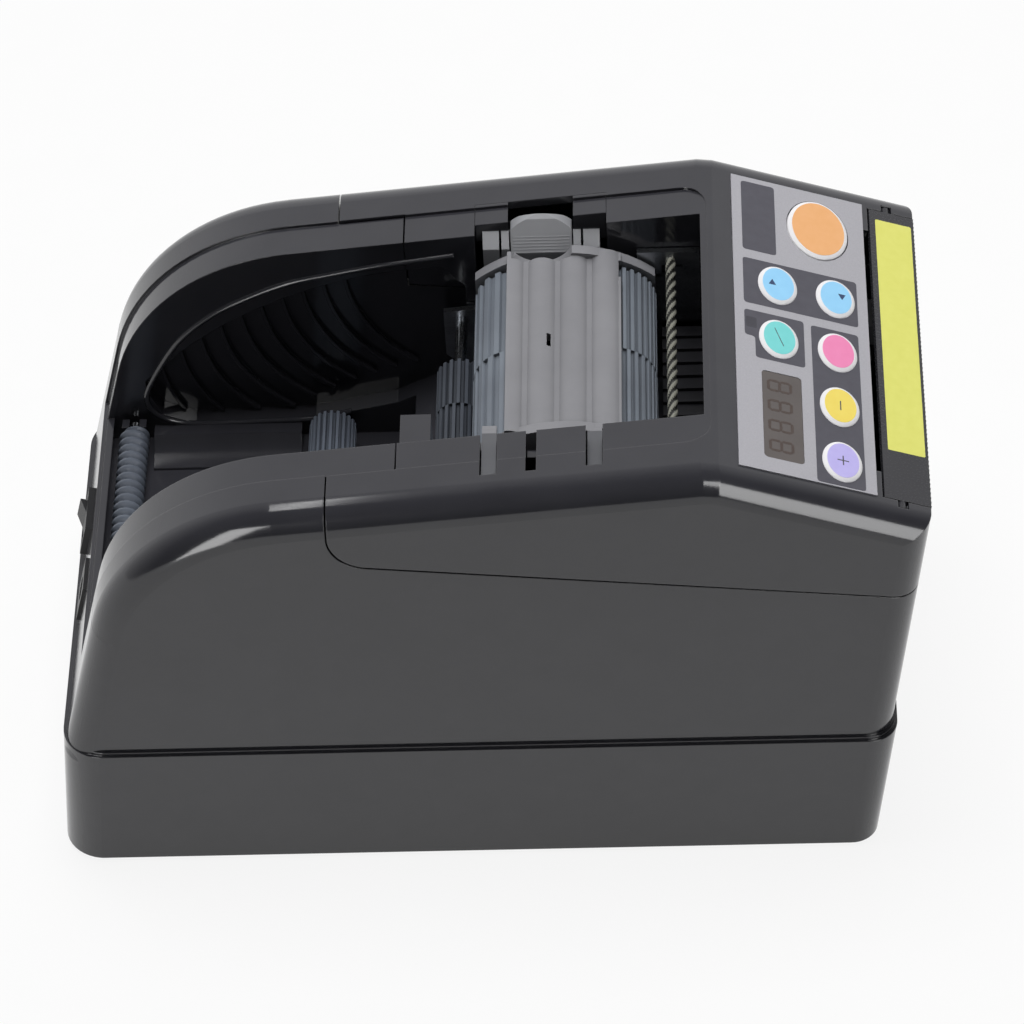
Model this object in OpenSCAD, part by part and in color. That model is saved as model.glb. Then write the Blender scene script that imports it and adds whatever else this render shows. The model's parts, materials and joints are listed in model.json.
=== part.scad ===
// Electric tape dispenser: a moulded housing with an open tape bay at the rear,
// a lift-out roller unit and its feed train in the middle, and a cutter under the sloping key panel.
// Millimetres, +X towards the tape outlet, +Y across the machine, +Z up, floor at zero.

/* [Housing] */
// Length of the plinth along its foot
body_len = 212; // [206:1:230]
// Width of the plinth
body_w = 123.6; // [120:0.2:130]
// Distance the nose hangs out past the foot of the plinth
nose_over = 12.5; // [11:0.5:16]
// Height of the ridge where the top meets the key panel
ridge_h = 134.8; // [131:0.1:142]
// Run of the key panel from the ridge to the nose
panel_run = 54; // [53:0.5:58]
// Fall of the key panel, degrees
panel_fall = 19.65; // [18:0.1:21]
// Rise of the top edge towards the front, degrees
top_rise = 5.65; // [4:0.05:6.5]
// Height of the plinth
plinth_h = 40.5; // [34:0.5:44]
// Step from the plinth in to the walls
plinth_step = 1.2; // [0.8:0.1:2]
// Lean of the plinth's rear face, degrees
rear_lean = 4.8; // [3:0.1:6]
// Slope of the rear edges of the walls, degrees
wall_slope = 14.3; // [12:0.1:16]
// Radius of the curve from the rear edges to the top
back_r = 55; // [48:1:60]
// Rounding along the outer edges of the walls
edge_r = 7.7; // [7.6:0.1:9]
// Rounding along the sides of the key panel
panel_r = 7.2; // [6:0.1:7.4]
// Depth of the flat that softens the ridge
ridge_cut = 0.5; // [0.3:0.05:0.6]
// Corner radius of the rear of the plinth in plan
rear_r = 11; // [9:0.5:12]
// Corner radius of the front in plan
nose_r = 7; // [5:0.5:9]
// Wall thickness of the mouldings
wall = 2.4; // [2:0.1:2.8]
// Seam between the two mouldings
seam = 0.4; // [0.2:0.05:0.5]
// Free fit between pieces that only sit together
fit = 0.3; // [0.2:0.05:0.4]
// Running clearance of a shaft in its hole, on the radius
run_fit = 0.05; // [0.02:0.01:0.1]

/* [Tape bay] */
// Inside width of the tape bay and of the roller well
bay_w = 72; // [70:0.5:76]
// Height of the bay floor
bay_floor = 58.1; // [57:0.1:59]
// Thickness of the rear wall of the bay
rear_wall = 2.6; // [2.5:0.1:4]
// Height of the rear wall of the bay
rear_wall_h = 65.6; // [63:0.1:68]
// Half width of the sunk ledge along the wall tops
ledge_y = 45.6; // [44:0.2:46]
// Depth of the sunk ledge
ledge_sink = 0.8; // [0.7:0.1:1.2]
// Depth of the hollows in the bay's inner walls
hollow_sink = 5; // [3:0.5:6]
// Number of ribs in each hollow
hollow_ribs = 10; // [6:1:12]
// Distance of the rear roller from the foot of the rear face
rear_roller_in = 18.75; // [18.5:0.05:20.5]
// Height of the rear roller's axis
rear_roller_z = 63.7; // [63.5:0.1:64.6]
// Radius of the rear roller over its ridges
rear_roller_r = 4; // [3.2:0.1:4.2]
// Spacing of the ridges on the rear roller
rear_ridge_pitch = 2.6; // [2.2:0.1:3.2]
// Distance between the rear roller and the cradle roller
cradle_pitch = 52.7; // [50:0.1:54]
// Height of the cradle roller's axis
cradle_z = 65.3; // [65.1:0.1:66.1]
// Radius of the cradle roller
cradle_r = 6.2; // [5.6:0.1:6.6]

/* [Roller unit] */
// Distance of the roller unit's middle behind the ridge
head_back = 35.9; // [35:0.1:37]
// Depth of the tape path below the ridge
tape_drop = 35.3; // [34.9:0.1:35.9]
// Gap between upper and lower rollers
nip = 0.6; // [0.5:0.1:1]
// Radius of the upper rollers
up_r = 11.3; // [10.8:0.1:11.5]
// Distance between the two upper rollers
up_pitch = 24; // [23.6:0.1:25]
// Ribs on the rear upper roller
up_rear_ribs = 20; // [16:1:24]
// Ribs on the front upper roller
up_front_ribs = 32; // [26:1:36]
// Depth of the roller ribs
rib_deep = 0.9; // [0.6:0.1:1.2]
// Clearance at each end of the roller unit
unit_clear = 0.9; // [0.7:0.1:1.4]
// Thickness of the roller unit's end flanges
flange_t = 3; // [2.4:0.1:3.4]
// Radius of the arched top of the end flanges
arch_r = 34; // [32:0.5:36]
// Width of the fluted shield
shield_w = 29; // [27:0.5:30]
// Number of flutes on the shield
flutes = 4; // [3:1:5]
// Radius of the roller shafts
shaft_r = 3; // [2.5:0.1:3.4]
// Radius of the lower rollers
low_r = 9; // [8.5:0.1:9.4]
// Travel of the roller unit when it is lifted out
lift = 45; // [40:1:50]

/* [Latch] */
// Distance of the latch behind the roller unit's middle
latch_back = 5.9; // [5:0.1:7]
// Width of the latch pad
latch_w = 15.8; // [14:0.2:17]
// Number of grip ridges on the latch pad
latch_ridges = 6; // [4:1:7]
// Distance between the two tabs on the near side
tab_pitch = 26; // [24:0.5:28]
// Width of the tabs
tab_w = 3.6; // [3:0.1:4.4]

/* [Feed train] */
// Gear module
gear_m = 1; // [0.95:0.01:1.05]
// Teeth on the feed gear
feed_teeth = 24; // [24:2:26]
// Teeth on the idler gear
idler_teeth = 30; // [28:2:30]
// Teeth on the motor pinion
pinion_teeth = 12; // [12:1:14]
// Face width of the gears
gear_w = 4.6; // [4:0.1:5]
// Radius of the feed motor
feed_motor_r = 13; // [12:0.5:14]
// Length of the feed motor
feed_motor_len = 46; // [40:1:50]

/* [Cutter] */
// Distance of the moving blade behind the nose
blade_back = 16.25; // [15.5:0.05:17]
// Thickness of the blades
blade_t = 1.5; // [1.2:0.1:1.6]
// Width of the moving blade
blade_w = 76; // [72:1:78]
// Throw of the cutter crank
crank_throw = 5; // [4.4:0.1:5.2]
// Depth of the crank axis below the tape path
crank_drop = 37.4; // [36.8:0.1:38]
// Radius of the crank disc
crank_r = 9; // [8:0.2:9]
// Radius of the cutter motor
cut_motor_r = 11; // [9:0.5:11.5]
// Length of the cutter motor
cut_motor_len = 27; // [22:0.5:27.5]

/* [Key panel] */
// Half width of the printed overlay
overlay_y = 52.2; // [50:0.1:52.4]
// Length of the overlay along the slope
overlay_len = 35.6; // [35:0.1:36]
// Distance of the overlay from the ridge
overlay_start = 7.4; // [7:0.1:8]
// Thickness of the overlay
overlay_t = 0.4; // [0.3:0.05:0.6]
// Half length of the oval start key along the slope
start_r = 8.1; // [7:0.1:8.4]
// Half length of the other oval keys along the slope
key_r = 5.2; // [4.4:0.1:5.4]
// Width of an oval key for its length
key_oval = 1.3; // [1:0.01:1.36]
// Travel of the keys
key_travel = 0.5; // [0.3:0.05:0.6]
// Height of the keys above the overlay
key_proud = 0.7; // [0.6:0.05:0.9]
// Width of the display window
display_w = 30; // [26:0.5:31]
// Length of the display window along the slope
display_len = 10.4; // [9:0.2:11]

/* [Guard] */
// Length of the guard along the slope
guard_len = 12.2; // [12:0.1:13]
// Half width of the guard
guard_y = 51.6; // [50:0.1:51.8]
// Thickness of the guard
guard_t = 1.5; // [1.4:0.1:1.7]
// Drop of the guard's front lip
guard_lip = 9; // [7:0.5:10]
// Number of serrations along the guard's front edge
guard_teeth = 66; // [40:1:80]

/* [Base] */
// Height of the rubber feet below the plinth
foot_h = 1.5; // [1.2:0.1:2]
// Radius of the rubber feet
foot_r = 7; // [5:0.5:8]
// Thickness of the base plate
base_t = 2.5; // [2:0.1:3]

/* [Hidden] */
$fn = 64;

// Reach of cuts that pass right through
big = 400;
// Small overlap that keeps cuts clean
eps = 0.01;
// Hair-fine steps that keep rounded faces from meeting exactly
sweep_step = 0.02;
sweep_lap = 0.3;
core_lap = 3;
side_over = 0.04;

// Ends of the machine, centred on its overall length
rear_x = -(body_len + nose_over) / 2;
front_x = rear_x + body_len;
nose_x = -rear_x;
half_w = body_w / 2;
wall_y = half_w - plinth_step;
plinth_top = foot_h + plinth_h;
ridge_x = nose_x - panel_run;
head_x = ridge_x - head_back;
bay_y = bay_w / 2;
tape_h = ridge_h - tape_drop;

// Side profile: rear edge, back curve, top line and panel line
function rear_face(z) = rear_x + tan(rear_lean) * (z - foot_h);
// The front leans out so far that it meets the panel just behind the nose
lip_room = 0.3;
front_lean = atan((nose_over + plinth_step - lip_room) / (panel_z(nose_x) - foot_h));
function front_face(z) = front_x + tan(front_lean) * (z - foot_h) - plinth_step;
function panel_z(x) = ridge_h - tan(panel_fall) * (x - ridge_x);
function top_z(x) = ridge_h + tan(top_rise) * (x - ridge_x);
edge_x = rear_face(plinth_top) + plinth_step;
rear_n = [cos(wall_slope), -sin(wall_slope)];
top_n = [sin(top_rise), -cos(top_rise)];
rear_d = edge_x * rear_n[0] + plinth_top * rear_n[1] + back_r;
top_d = ridge_x * top_n[0] + ridge_h * top_n[1] + back_r;
turn = rear_n[0] * top_n[1] - rear_n[1] * top_n[0];
back_c = [(rear_d * top_n[1] - top_d * rear_n[1]) / turn, (rear_n[0] * top_d - top_n[0] * rear_d) / turn];
function rear_edge(z, inset = 0) = edge_x + tan(wall_slope) * (z - plinth_top) + inset / cos(wall_slope);

// Side plates of the feed mechanism
plate_t = 1.6;
plate_gap = 0.3;

// Heights of the roller unit and of what lies under it
up_z = tape_h + nip / 2 + up_r;
low_z = tape_h - nip / 2 - low_r;
up_rear_x = head_x - up_pitch / 2;
up_front_x = head_x + up_pitch / 2;
unit_y = bay_y - plate_gap - plate_t - unit_clear;
roller_y = unit_y - flange_t - fit * 2;
shield_z = up_z + up_r + 0.6;
shield_t = 1.7;
arch_z = shield_z + shield_t + 2.2 - arch_r;

// The roller well, from the end of the bay to the ridge
well_rear = head_x - 41;
well_front = ridge_x - 1.1;
well_floor = low_z - low_r - 3.5;
well_corner = 6.5;
ledge_corner = 6.5;
ledge_front = ridge_x + 0.5;

// The seam between the lower housing and the head cover
split_x = head_x - 58;
split_rear_z = top_z(split_x) - 16.6;
split_front_z = split_rear_z - 16.8;
split_r = 10;
split_run = nose_x - split_x;

plate_out = bay_y - plate_gap;
plate_in = plate_out - plate_t;

// Gear train on the near side, outside the well
gear_gap = 0.7;
gear_y1 = -(bay_y + wall + gear_gap);
gear_y0 = gear_y1 - gear_w;
feed_pitch_r = gear_m * feed_teeth / 2;
idler_pitch_r = gear_m * idler_teeth / 2;
pinion_pitch_r = gear_m * pinion_teeth / 2;
idler_dir = 112;
idler_x = up_front_x + (feed_pitch_r + idler_pitch_r) * cos(idler_dir);
idler_z = low_z - (feed_pitch_r + idler_pitch_r) * sin(idler_dir);
pinion_x = idler_x;
pinion_z = idler_z - idler_pitch_r - pinion_pitch_r;
stud_r = 2.5;
motor_shaft_r = 1.5;
motor_shaft_in = 12;
bracket_t = 1.6;
bracket_y1 = -bay_y;
bracket_y0 = bracket_y1 - bracket_t;

// Base plate and what stands on it
base_z0 = foot_h + 0.6;
base_z1 = base_z0 + base_t;
boss_r = 4;
boss_in = 8.5;
screw_r = 1.5;

// Bay rollers and their forked posts
rear_roller_x = rear_x + rear_roller_in;
cradle_x = rear_roller_x + cradle_pitch;
post_t = 3;
post_y0 = bay_y - 1.2 - post_t;
bay_roller_y = post_y0 - fit * 2;
bay_shaft_r = 1.6;

// Entry roller between the bay and the roller unit
entry_x = head_x - 27.4;
entry_z = up_z - 10.9;
entry_r = 6;
entry_y0 = -18;
entry_y1 = 14;

// Cutter under the nose
blade_x0 = nose_x - blade_back;
blade_x1 = blade_x0 + blade_t;
blade_gap = 0.15;
fixed_x0 = blade_x1 + blade_gap;
fixed_x1 = fixed_x0 + blade_t;
blade_y = blade_w / 2;
blade_edge_z = tape_h - 2.4;
crank_z = tape_h - crank_drop;
crank_rest = -45;
crank_sweep = 90;
blade_rise = crank_throw * (sin(crank_rest + crank_sweep) - sin(crank_rest));
pin_r = 1.5;
crank_shaft_r = 3;
crank_in = 10;
slot_fit = 0.3;
post_w = 4.6;
post_x0 = blade_x0 - 1.5;
frame_x1 = post_x0 - 4.2;
frame_x0 = frame_x1 - 1.8;
crank_x0 = frame_x1 + 0.6;
crank_x1 = crank_x0 + 2.5;
frame_bar_z0 = crank_z - crank_r - 4.5;
frame_bar_z1 = crank_z - crank_r - 0.5;
frame_top = panel_z(blade_x1) - wall - 3;
outlet_y = blade_y + post_w + 0.7;
outlet_z = split_front_z + 3.6;

// Key panel: along the slope from the ridge, then across
overlay_end = overlay_start + overlay_len;
start_at = [overlay_start + 23, 38];
reverse_at = [overlay_start + 11.6, 14];
forward_at = [overlay_start + 27, 14];
mode_at = [overlay_start + 11.4, -5.4];
select_at = [overlay_start + 26.9, -5.4];
minus_at = [overlay_start + 26.8, -24.6];
plus_at = [overlay_start + 26.8, -43.6];
display_at = [overlay_start + 11.8, -32.4];
oval_keys = [reverse_at, forward_at, mode_at, select_at, minus_at, plus_at];
key_fit = 0.3;
board_drop = 8;
board_t = 1.6;
tact_h = 3.5;
key_foot = wall + 1.2;
key_lip = 0.8;
key_rim = 0.2;
key_rim_w = 1.1;

// Guard over the cutter, hinged near its rear edge
guard_end = panel_run / cos(panel_fall) - 0.1;
guard_start = guard_end - guard_len;
hinge_in = 4.8;
hinge_drop = 1.2;
hinge_r = 1.1;
hinge_out = 2.2;
guard_dip = 6.6;
guard_gap = 0.55;
lip_t = 1.2;

// Rear switch and power inlet
switch_y = 12.5;
switch_z = plinth_top + 9;
switch_w = 15;
switch_h = 10;
rocker_in = 1;
rocker_pin_r = 0.8;
jack_y = -12;
jack_r = 3.1;
jack_pin_r = 1.05;

// Main board on the base plate, and the foot of the motor bracket
board_in = 24;
board_len = 80;
board_y = 34;
bracket_w = 40;

// Place children on the key panel: X down the slope, Z out of the panel
module on_panel(at = [0, 0]) {
    translate([ridge_x, 0, ridge_h]) rotate([0, panel_fall, 0]) translate([at[0], at[1], 0]) children();
}

// Place children on the sloping rear face: X into the housing, Z up the slope
module on_rear(y, z) {
    translate([rear_edge(z), y, z]) rotate([0, wall_slope, 0]) children();
}

// Cylinder across the machine, between two Y values
module across(x, z, r, y0, y1) {
    translate([x, y1, z]) rotate([90, 0, 0]) cylinder(r = r, h = y1 - y0);
}

// Box from two corners
module box(lo, hi) {
    translate(lo) cube(hi - lo);
}

// Side outline extruded across the machine
module side_sheet(y0, y1) {
    translate([0, y1, 0]) rotate([90, 0, 0]) linear_extrude(height = y1 - y0) children();
}

module side_prism(points, y0, y1) {
    side_sheet(y0, y1) polygon(points);
}

// Flat section that starts at zero, with its two leading corners rounded
module rounded_end(y, r, deep) {
    union() {
        translate([0, -y + r]) square([deep, 2 * (y - r)]);
        translate([r, -y]) square([deep - r, 2 * y]);
        for (side = [-1, 1]) translate([r, side * (y - r)]) circle(r = r);
    }
}

// Long bar with one leaning, rounded end, the end passing through x at height z
module leaning_bar(x, z, y, lean, r, turn) {
    translate([x, 0, z]) rotate([0, lean, turn]) translate([0, 0, -big]) linear_extrude(height = 2 * big)
        rounded_end(y, r, big);
}

// Block with leaning ends and rounded upright corners
module leaning_block(x0, x1, y, z0, z1, lean0, lean1, r0, r1) {
    intersection() {
        leaning_bar(x0, z0, y + side_over, lean0, r0, 0);
        leaning_bar(x1, z0, y, -lean1, r1, 180);
        box([x0 - big, -big, z0], [x1 + big, big, z1]);
    }
}

// Side region under the rear edge, back curve and top line, set in by a distance
module back_region(inset, y) {
    r = back_r - inset;
    low = foot_h;
    far_x = nose_x + 20;
    side_sheet(-y, y) union() {
        polygon([
            [rear_edge(low, inset), low], back_c - r * rear_n, back_c, back_c - r * top_n,
            [far_x, top_z(far_x) - inset / cos(top_rise)], [far_x, low]
        ]);
        translate(back_c) circle(r = r);
    }
}

// Cross-section of a wall top: flat, with its two outer corners rounded
module edge_section(inset, y, deep) {
    translate([inset, 0]) rounded_end(y, edge_r - inset, deep - inset);
}

// Walls and top with rounded outer edges, swept along the side profile, set in by a distance
module back_form(inset) {
    y = wall_y - inset + side_over;
    run0 = (back_c - back_r * rear_n)[1] + 40;
    run1 = nose_x + 20 - (back_c - back_r * top_n)[0];
    c = [back_c[0], 0, back_c[1]];
    union() {
        // Straight rear edges
        translate(c) rotate([0, wall_slope, 0]) translate([-back_r, 0, -run0])
            linear_extrude(height = run0) edge_section(inset, y, back_r + core_lap);
        // Straight top
        translate(c) rotate([0, 90 - top_rise, 0]) translate([-back_r, 0, 0])
            linear_extrude(height = run1) edge_section(inset, y, back_r + core_lap);
        // Back curve between the two
        translate(c) rotate([90, 0, 0]) rotate([0, 0, 90 + top_rise - sweep_lap])
            rotate_extrude(angle = 90 - top_rise - wall_slope + 2 * sweep_lap)
            intersection() {
                translate([back_r, 0]) mirror([1, 0]) edge_section(inset + sweep_step, y - sweep_step, back_r);
                translate([0, -big]) square([big, 2 * big]);
            }
        // What lies below and in front of the sweep
        side_prism([
            back_c, back_c - run0 * [sin(wall_slope), cos(wall_slope)],
            [nose_x + 20, back_c[1] - run0 * cos(wall_slope)],
            back_c + run1 * [cos(top_rise), sin(top_rise)]
        ], -y - core_lap, y + core_lap);
    }
}

// Everything under the key panel, with rounded sides, set in by a distance
module panel_form(inset) {
    on_panel() translate([-big, 0, -inset]) rotate([0, 90, 0]) linear_extrude(height = 2 * big)
        rounded_end(wall_y - inset + side_over, panel_r - inset / 2, big);
}

// Flat that softens the ridge, with rounded sides, set in by a distance
module ridge_form(inset) {
    translate([ridge_x, 0, ridge_h]) rotate([0, (panel_fall - top_rise) / 2, 0]) translate([-big, 0, -inset - ridge_cut])
        rotate([0, 90, 0]) linear_extrude(height = 2 * big)
        rounded_end(wall_y - inset + side_over, (edge_r + panel_r) / 2 - inset / 2, big);
}

// The housing's outside above the plinth, or its inside when set in
module upper_form(inset) {
    low = plinth_top - 5;
    intersection() {
        back_form(inset);
        ridge_form(inset);
        panel_form(inset);
        leaning_block(
            rear_x - 20, front_face(low) - inset / cos(front_lean), wall_y - inset,
            low, ridge_h + 10, 0, front_lean, 1, nose_r - inset / 2
        );
    }
}

// The plinth's outside, or its inside when set in
module plinth_form(inset) {
    step_z = plinth_top - inset;
    leaning_block(
        rear_x + inset / cos(rear_lean), front_x - inset / cos(front_lean), half_w - inset,
        foot_h, step_z - 1, rear_lean, front_lean, rear_r - inset / 2, nose_r - inset / 2
    );
    leaning_block(
        rear_face(step_z - 1) + plinth_step / 2 + inset, front_face(step_z - 1) + plinth_step / 2 - inset,
        half_w - plinth_step / 2 - inset, step_z - 1 - eps, step_z,
        rear_lean, front_lean, rear_r - inset / 2, nose_r - inset / 2
    );
}

// Tear-shaped hollow in the bay's inner walls, grown by a wall
module bay_hollow(grow, deeper = 0) {
    left = rear_roller_x + 4 - grow;
    right = well_rear + 15 + grow;
    low = bay_floor + 5 - grow;
    top = top_z(well_rear) - 9.5 + grow;
    sag = 110;
    y = bay_y + hollow_sink + grow + deeper;
    intersection() {
        side_prism([
            [left, low + 12], [left + 3.6, low + 3.6], [left + 12, low], [right - 42, low + 1],
            [right - 20, low + 6], [right, low + 16], [right, top - 7], [right - 5, top - 1],
            [right - 9, top + 5], [left, top + 5]
        ], -y, y);
        across(right - 2, top - sag, sag, -big, big);
    }
}

// The open bay and the roller well, grown by a wall
module tub(grow) {
    y = bay_y + grow;
    floor_z = bay_floor - grow;
    in_x = rear_wall - grow;
    side_prism([
        [rear_edge(floor_z, in_x), floor_z], [well_rear + grow, floor_z],
        [well_rear + grow, well_floor - grow], [well_front + grow, well_floor - grow],
        [well_front + grow, big], [rear_edge(big, in_x), big]
    ], -y, y);
}

// Sunk ledge along the wall tops, round at its front corners
module ledge_cut() {
    difference() {
        union() {
            box([rear_x - 10, -ledge_y, plinth_top + 20], [ledge_front - ledge_corner, ledge_y, big]);
            box([ledge_front - ledge_corner - 1, -ledge_y + ledge_corner, plinth_top + 20], [ledge_front, ledge_y - ledge_corner, big]);
            for (side = [-1, 1])
                translate([ledge_front - ledge_corner, side * (ledge_y - ledge_corner), plinth_top + 20])
                cylinder(r = ledge_corner, h = big);
        }
        back_region(ledge_sink, half_w);
    }
}

// Region of the head cover: above the seam and in front of it, with a rounded rear corner
module cover_zone(gap) {
    slope = (split_rear_z - split_front_z) / split_run;
    tilt = sqrt(1 + slope * slope);
    x0 = split_x + gap;
    z0 = split_rear_z + gap;
    far_x = nose_x + 30;
    c = [x0 + split_r, z0 - slope * split_r + split_r * tilt];
    difference() {
        side_sheet(-big, big) union() {
            polygon([
                [x0, c[1]], c, c - split_r / tilt * [slope, 1],
                [far_x, z0 - slope * (far_x - x0)], [far_x, big], [x0, big]
            ]);
            translate(c) circle(r = split_r);
        }
        box([split_x - 5, -ledge_y - gap, 0], [well_rear + gap, ledge_y + gap, big]);
    }
}

// Shell common to both mouldings
module shell() {
    difference() {
        union() {
            upper_form(0);
            plinth_form(0);
        }
        difference() {
            union() {
                upper_form(wall);
                plinth_form(wall);
            }
            tub(wall);
            bay_hollow(wall);
        }
        tub(0);
        bay_hollow(0);
        ledge_cut();
        // The bay opens over the rear wall
        box([rear_x - 10, -bay_y, rear_wall_h], [cradle_x, bay_y, big]);
        // The underside stays open for the base plate
        box([rear_x - 10, -big, -big], [nose_x, big, foot_h]);
    }
}

// One curved vane, from the upper edge of a hollow down towards its middle
vane_r = 42;
vane_pitch = 5.6;
vane_trim = 0.4;

module hollow_vane(i, side) {
    x = rear_roller_x + 9 + i * vane_pitch;
    z = bay_floor + 5 + sqrt(110 * 110 - pow(x - well_rear - 13, 2)) - 62;
    translate([x + vane_r * 0.985, side * (bay_y + hollow_sink), z + vane_r * 0.17]) rotate([90, 0, 0]) rotate([0, 0, 168])
        rotate_extrude(angle = 66) translate([vane_r, -1.4]) square([0.9, 2.8]);
}

// Forked post that carries one end of a bay roller
module forked_post(x, z, side) {
    y0 = side > 0 ? post_y0 : -post_y0 - post_t;
    difference() {
        box([x - 3.2, y0, bay_floor - 0.5], [x + 3.2, y0 + post_t, z + 2.6]);
        across(x, z, bay_shaft_r + run_fit, y0 - 1, y0 + post_t + 1);
        box([x - bay_shaft_r + 0.3, y0 - 1, z], [x + bay_shaft_r - 0.3, y0 + post_t + 1, z + 5]);
    }
}

// Screw boss tied to the side wall
module base_boss(x, side) {
    y = side * (half_w - boss_in);
    difference() {
        union() {
            translate([x, y, base_z1]) cylinder(r = boss_r, h = plinth_top - base_z1 - 6);
            box([x - 1, min(y, side * (half_w - 1)), base_z1 + 3], [x + 1, max(y, side * (half_w - 1)), plinth_top - 8]);
        }
        translate([x, y, base_z1 - 1]) cylinder(r = screw_r - 0.2, h = 14);
    }
}

boss_rear_x = rear_x + 20;
boss_front_x = front_x - 22;

module lower_housing() {
    color("#3a3b3f") difference() {
        union() {
            difference() {
                shell();
                cover_zone(-seam / 2);
            }
            // Curved vanes that stand on the back of each hollow
            for (side = [-1, 1]) intersection() {
                bay_hollow(-vane_trim, 1);
                union() {
                    for (i = [0 : hollow_ribs - 1]) hollow_vane(i, side);
                }
            }
            // Rails along the bay floor
            for (side = [-1, 1])
                box([rear_roller_x + 5, side > 0 ? post_y0 : -bay_y - 0.5, bay_floor - 0.5],
                    [cradle_x - 8.5, side > 0 ? bay_y + 0.5 : -post_y0, bay_floor + 5]);
            for (side = [-1, 1]) {
                forked_post(rear_roller_x, rear_roller_z, side);
                forked_post(cradle_x, cradle_z, side);
                base_boss(boss_rear_x, side);
                base_boss(boss_front_x, side);
            }
        }
        // Way for the feed shaft through the well wall
        across(up_front_x, low_z, shaft_r + 2.2, -bay_y - wall - 1, -bay_y + 1);
        // Tape passes from the well to the cutter
        box([well_front - 1, -unit_y, tape_h - 5], [well_front + wall + 1, unit_y, tape_h + 5]);
        // Openings for the switch and the power inlet
        on_rear(switch_y, switch_z) box([-5, -switch_w / 2 + 1.2 - fit, -switch_h / 2 + 1 - fit],
            [30, switch_w / 2 - 1.2 + fit, switch_h / 2 - 1 + fit]);
        on_rear(jack_y, switch_z) box([-5, -4.6 - fit, -5 - fit], [30, 4.6 + fit, 5 + fit]);
    }
}

module head_cover() {
    color("#38393d") difference() {
        union() {
            intersection() {
                shell();
                cover_zone(seam / 2);
            }
            // Web that narrows the well beside the entry roller
            box([well_rear + seam, -bay_y - 1, split_front_z + 20], [well_rear + 8, entry_y0 - 3, top_z(well_rear) - 6]);
        }
        // Tape passes from the well to the cutter
        box([well_front - 1, -unit_y, tape_h - 5], [well_front + wall + 1, unit_y, tape_h + 5]);
        // Seat of the guard, with room for its rear edge to dip
        on_panel() {
            box([guard_start - guard_gap, -guard_y - fit, -guard_t - fit], [big, guard_y + fit, big]);
            box([guard_start - guard_gap, -guard_y - fit, -guard_dip], [guard_start + hinge_in + 2, guard_y + fit, big]);
            // Rebate for the front lip
            translate([guard_end, 0, 0]) rotate([0, front_lean - panel_fall, 0])
                box([-lip_t - fit, -guard_y - fit + 0.1, -guard_lip - fit], [20, guard_y + fit - 0.1, 0.2]);
            box([guard_start + hinge_in - hinge_r - fit, -guard_y - hinge_out - fit, -hinge_drop - hinge_r - fit],
                [guard_start + hinge_in + hinge_r + fit, guard_y + hinge_out + fit, big]);
        }
        // Outlet below the guard
        box([frame_x1 + 1, -outlet_y, outlet_z], [big, outlet_y, big / 2]);
        // Keys and display
        on_panel(start_at) oval(start_r, key_fit, -big / 20, big / 20);
        for (at = oval_keys) on_panel(at) oval(key_r, key_fit, -big / 20, big / 20);
        on_panel(display_at) box([-display_len / 2 - fit, -display_w / 2 - fit, -20], [display_len / 2 + fit, display_w / 2 + fit, 5]);
        // Recess for the latch in the far wall
        box([head_x - latch_back - latch_w / 2 - 9, bay_y - 1, up_z + 1.5], [head_x - latch_back + latch_w / 2 + 9, bay_y + 10.6, big]);
        // Notches for the tabs and a relief slot in the near wall
        for (side = [-1, 1])
            box([tab_x(side) - tab_w / 2 - fit, -bay_y - 14.5, tab_z - fit], [tab_x(side) + tab_w / 2 + fit, -bay_y + 1, big]);
        box([head_x - latch_back - 3, -bay_y - 14.5, tab_z - fit], [head_x - latch_back - 0.4, -bay_y + 1, big]);
    }
}

// Tabs of the roller unit that drop into the near wall
tab_z = up_z + up_r + 0.6;
function tab_x(side) = head_x - latch_back + 0.8 + side * tab_pitch / 2;

module base_plate() {
    inset = wall + fit;
    color("#2b2c30") difference() {
        leaning_block(
            rear_face(base_z0) + inset, front_x - inset, half_w - inset, base_z0, base_z1,
            0, 0, rear_r - inset / 2, nose_r - inset / 2
        );
        for (x = [boss_rear_x, boss_front_x], side = [-1, 1])
            translate([x, side * (half_w - boss_in), base_z0 - 1]) cylinder(r = screw_r + 0.2, h = base_t + 2);
        // Ventilation slots under the board
        for (i = [0 : 5])
            box([rear_x + 60 + i * 9, -16, base_z0 - 1], [rear_x + 62.4 + i * 9, 16, base_z1 + 1]);
    }
}

module rubber_feet() {
    color("#232427") for (x = [boss_rear_x + 14, boss_front_x - 14], side = [-1, 1])
        translate([x, side * (half_w - boss_in - 9), 0]) rotate_extrude()
        polygon([[0, 0], [foot_r - 0.6, 0], [foot_r, 0.6], [foot_r, base_z0], [0, base_z0]]);
}

module base_screws() {
    color("#8d8f93") for (x = [boss_rear_x, boss_front_x], side = [-1, 1])
        translate([x, side * (half_w - boss_in), base_z0]) difference() {
            union() {
                translate([0, 0, -0.6]) cylinder(r = 3, h = 0.6);
                translate([0, 0, -eps]) cylinder(r = screw_r - 0.2, h = base_t + 11);
            }
            translate([-0.4, -2, -1]) cube([0.8, 4, 0.75]);
            translate([-2, -0.4, -1]) cube([4, 0.8, 0.75]);
        }
}

// Upright oval, grown by a rim, between two heights
module oval(r, grow, z0, z1) {
    long = r * key_oval + grow;
    translate([0, 0, z0]) linear_extrude(height = z1 - z0) scale([(r + grow) / long, 1]) circle(r = long);
}

module panel_overlay() {
    color("#a9a8ae") difference() {
        on_panel() box([overlay_start, -overlay_y, 0], [overlay_end, overlay_y, overlay_t]);
        on_panel(start_at) oval(start_r, key_fit, -1, 2);
        for (at = oval_keys) on_panel(at) oval(key_r, key_fit, -1, 2);
        on_panel(display_at) box([-display_len / 2, -display_w / 2, -1], [display_len / 2, display_w / 2, 2]);
    }
}

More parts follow.
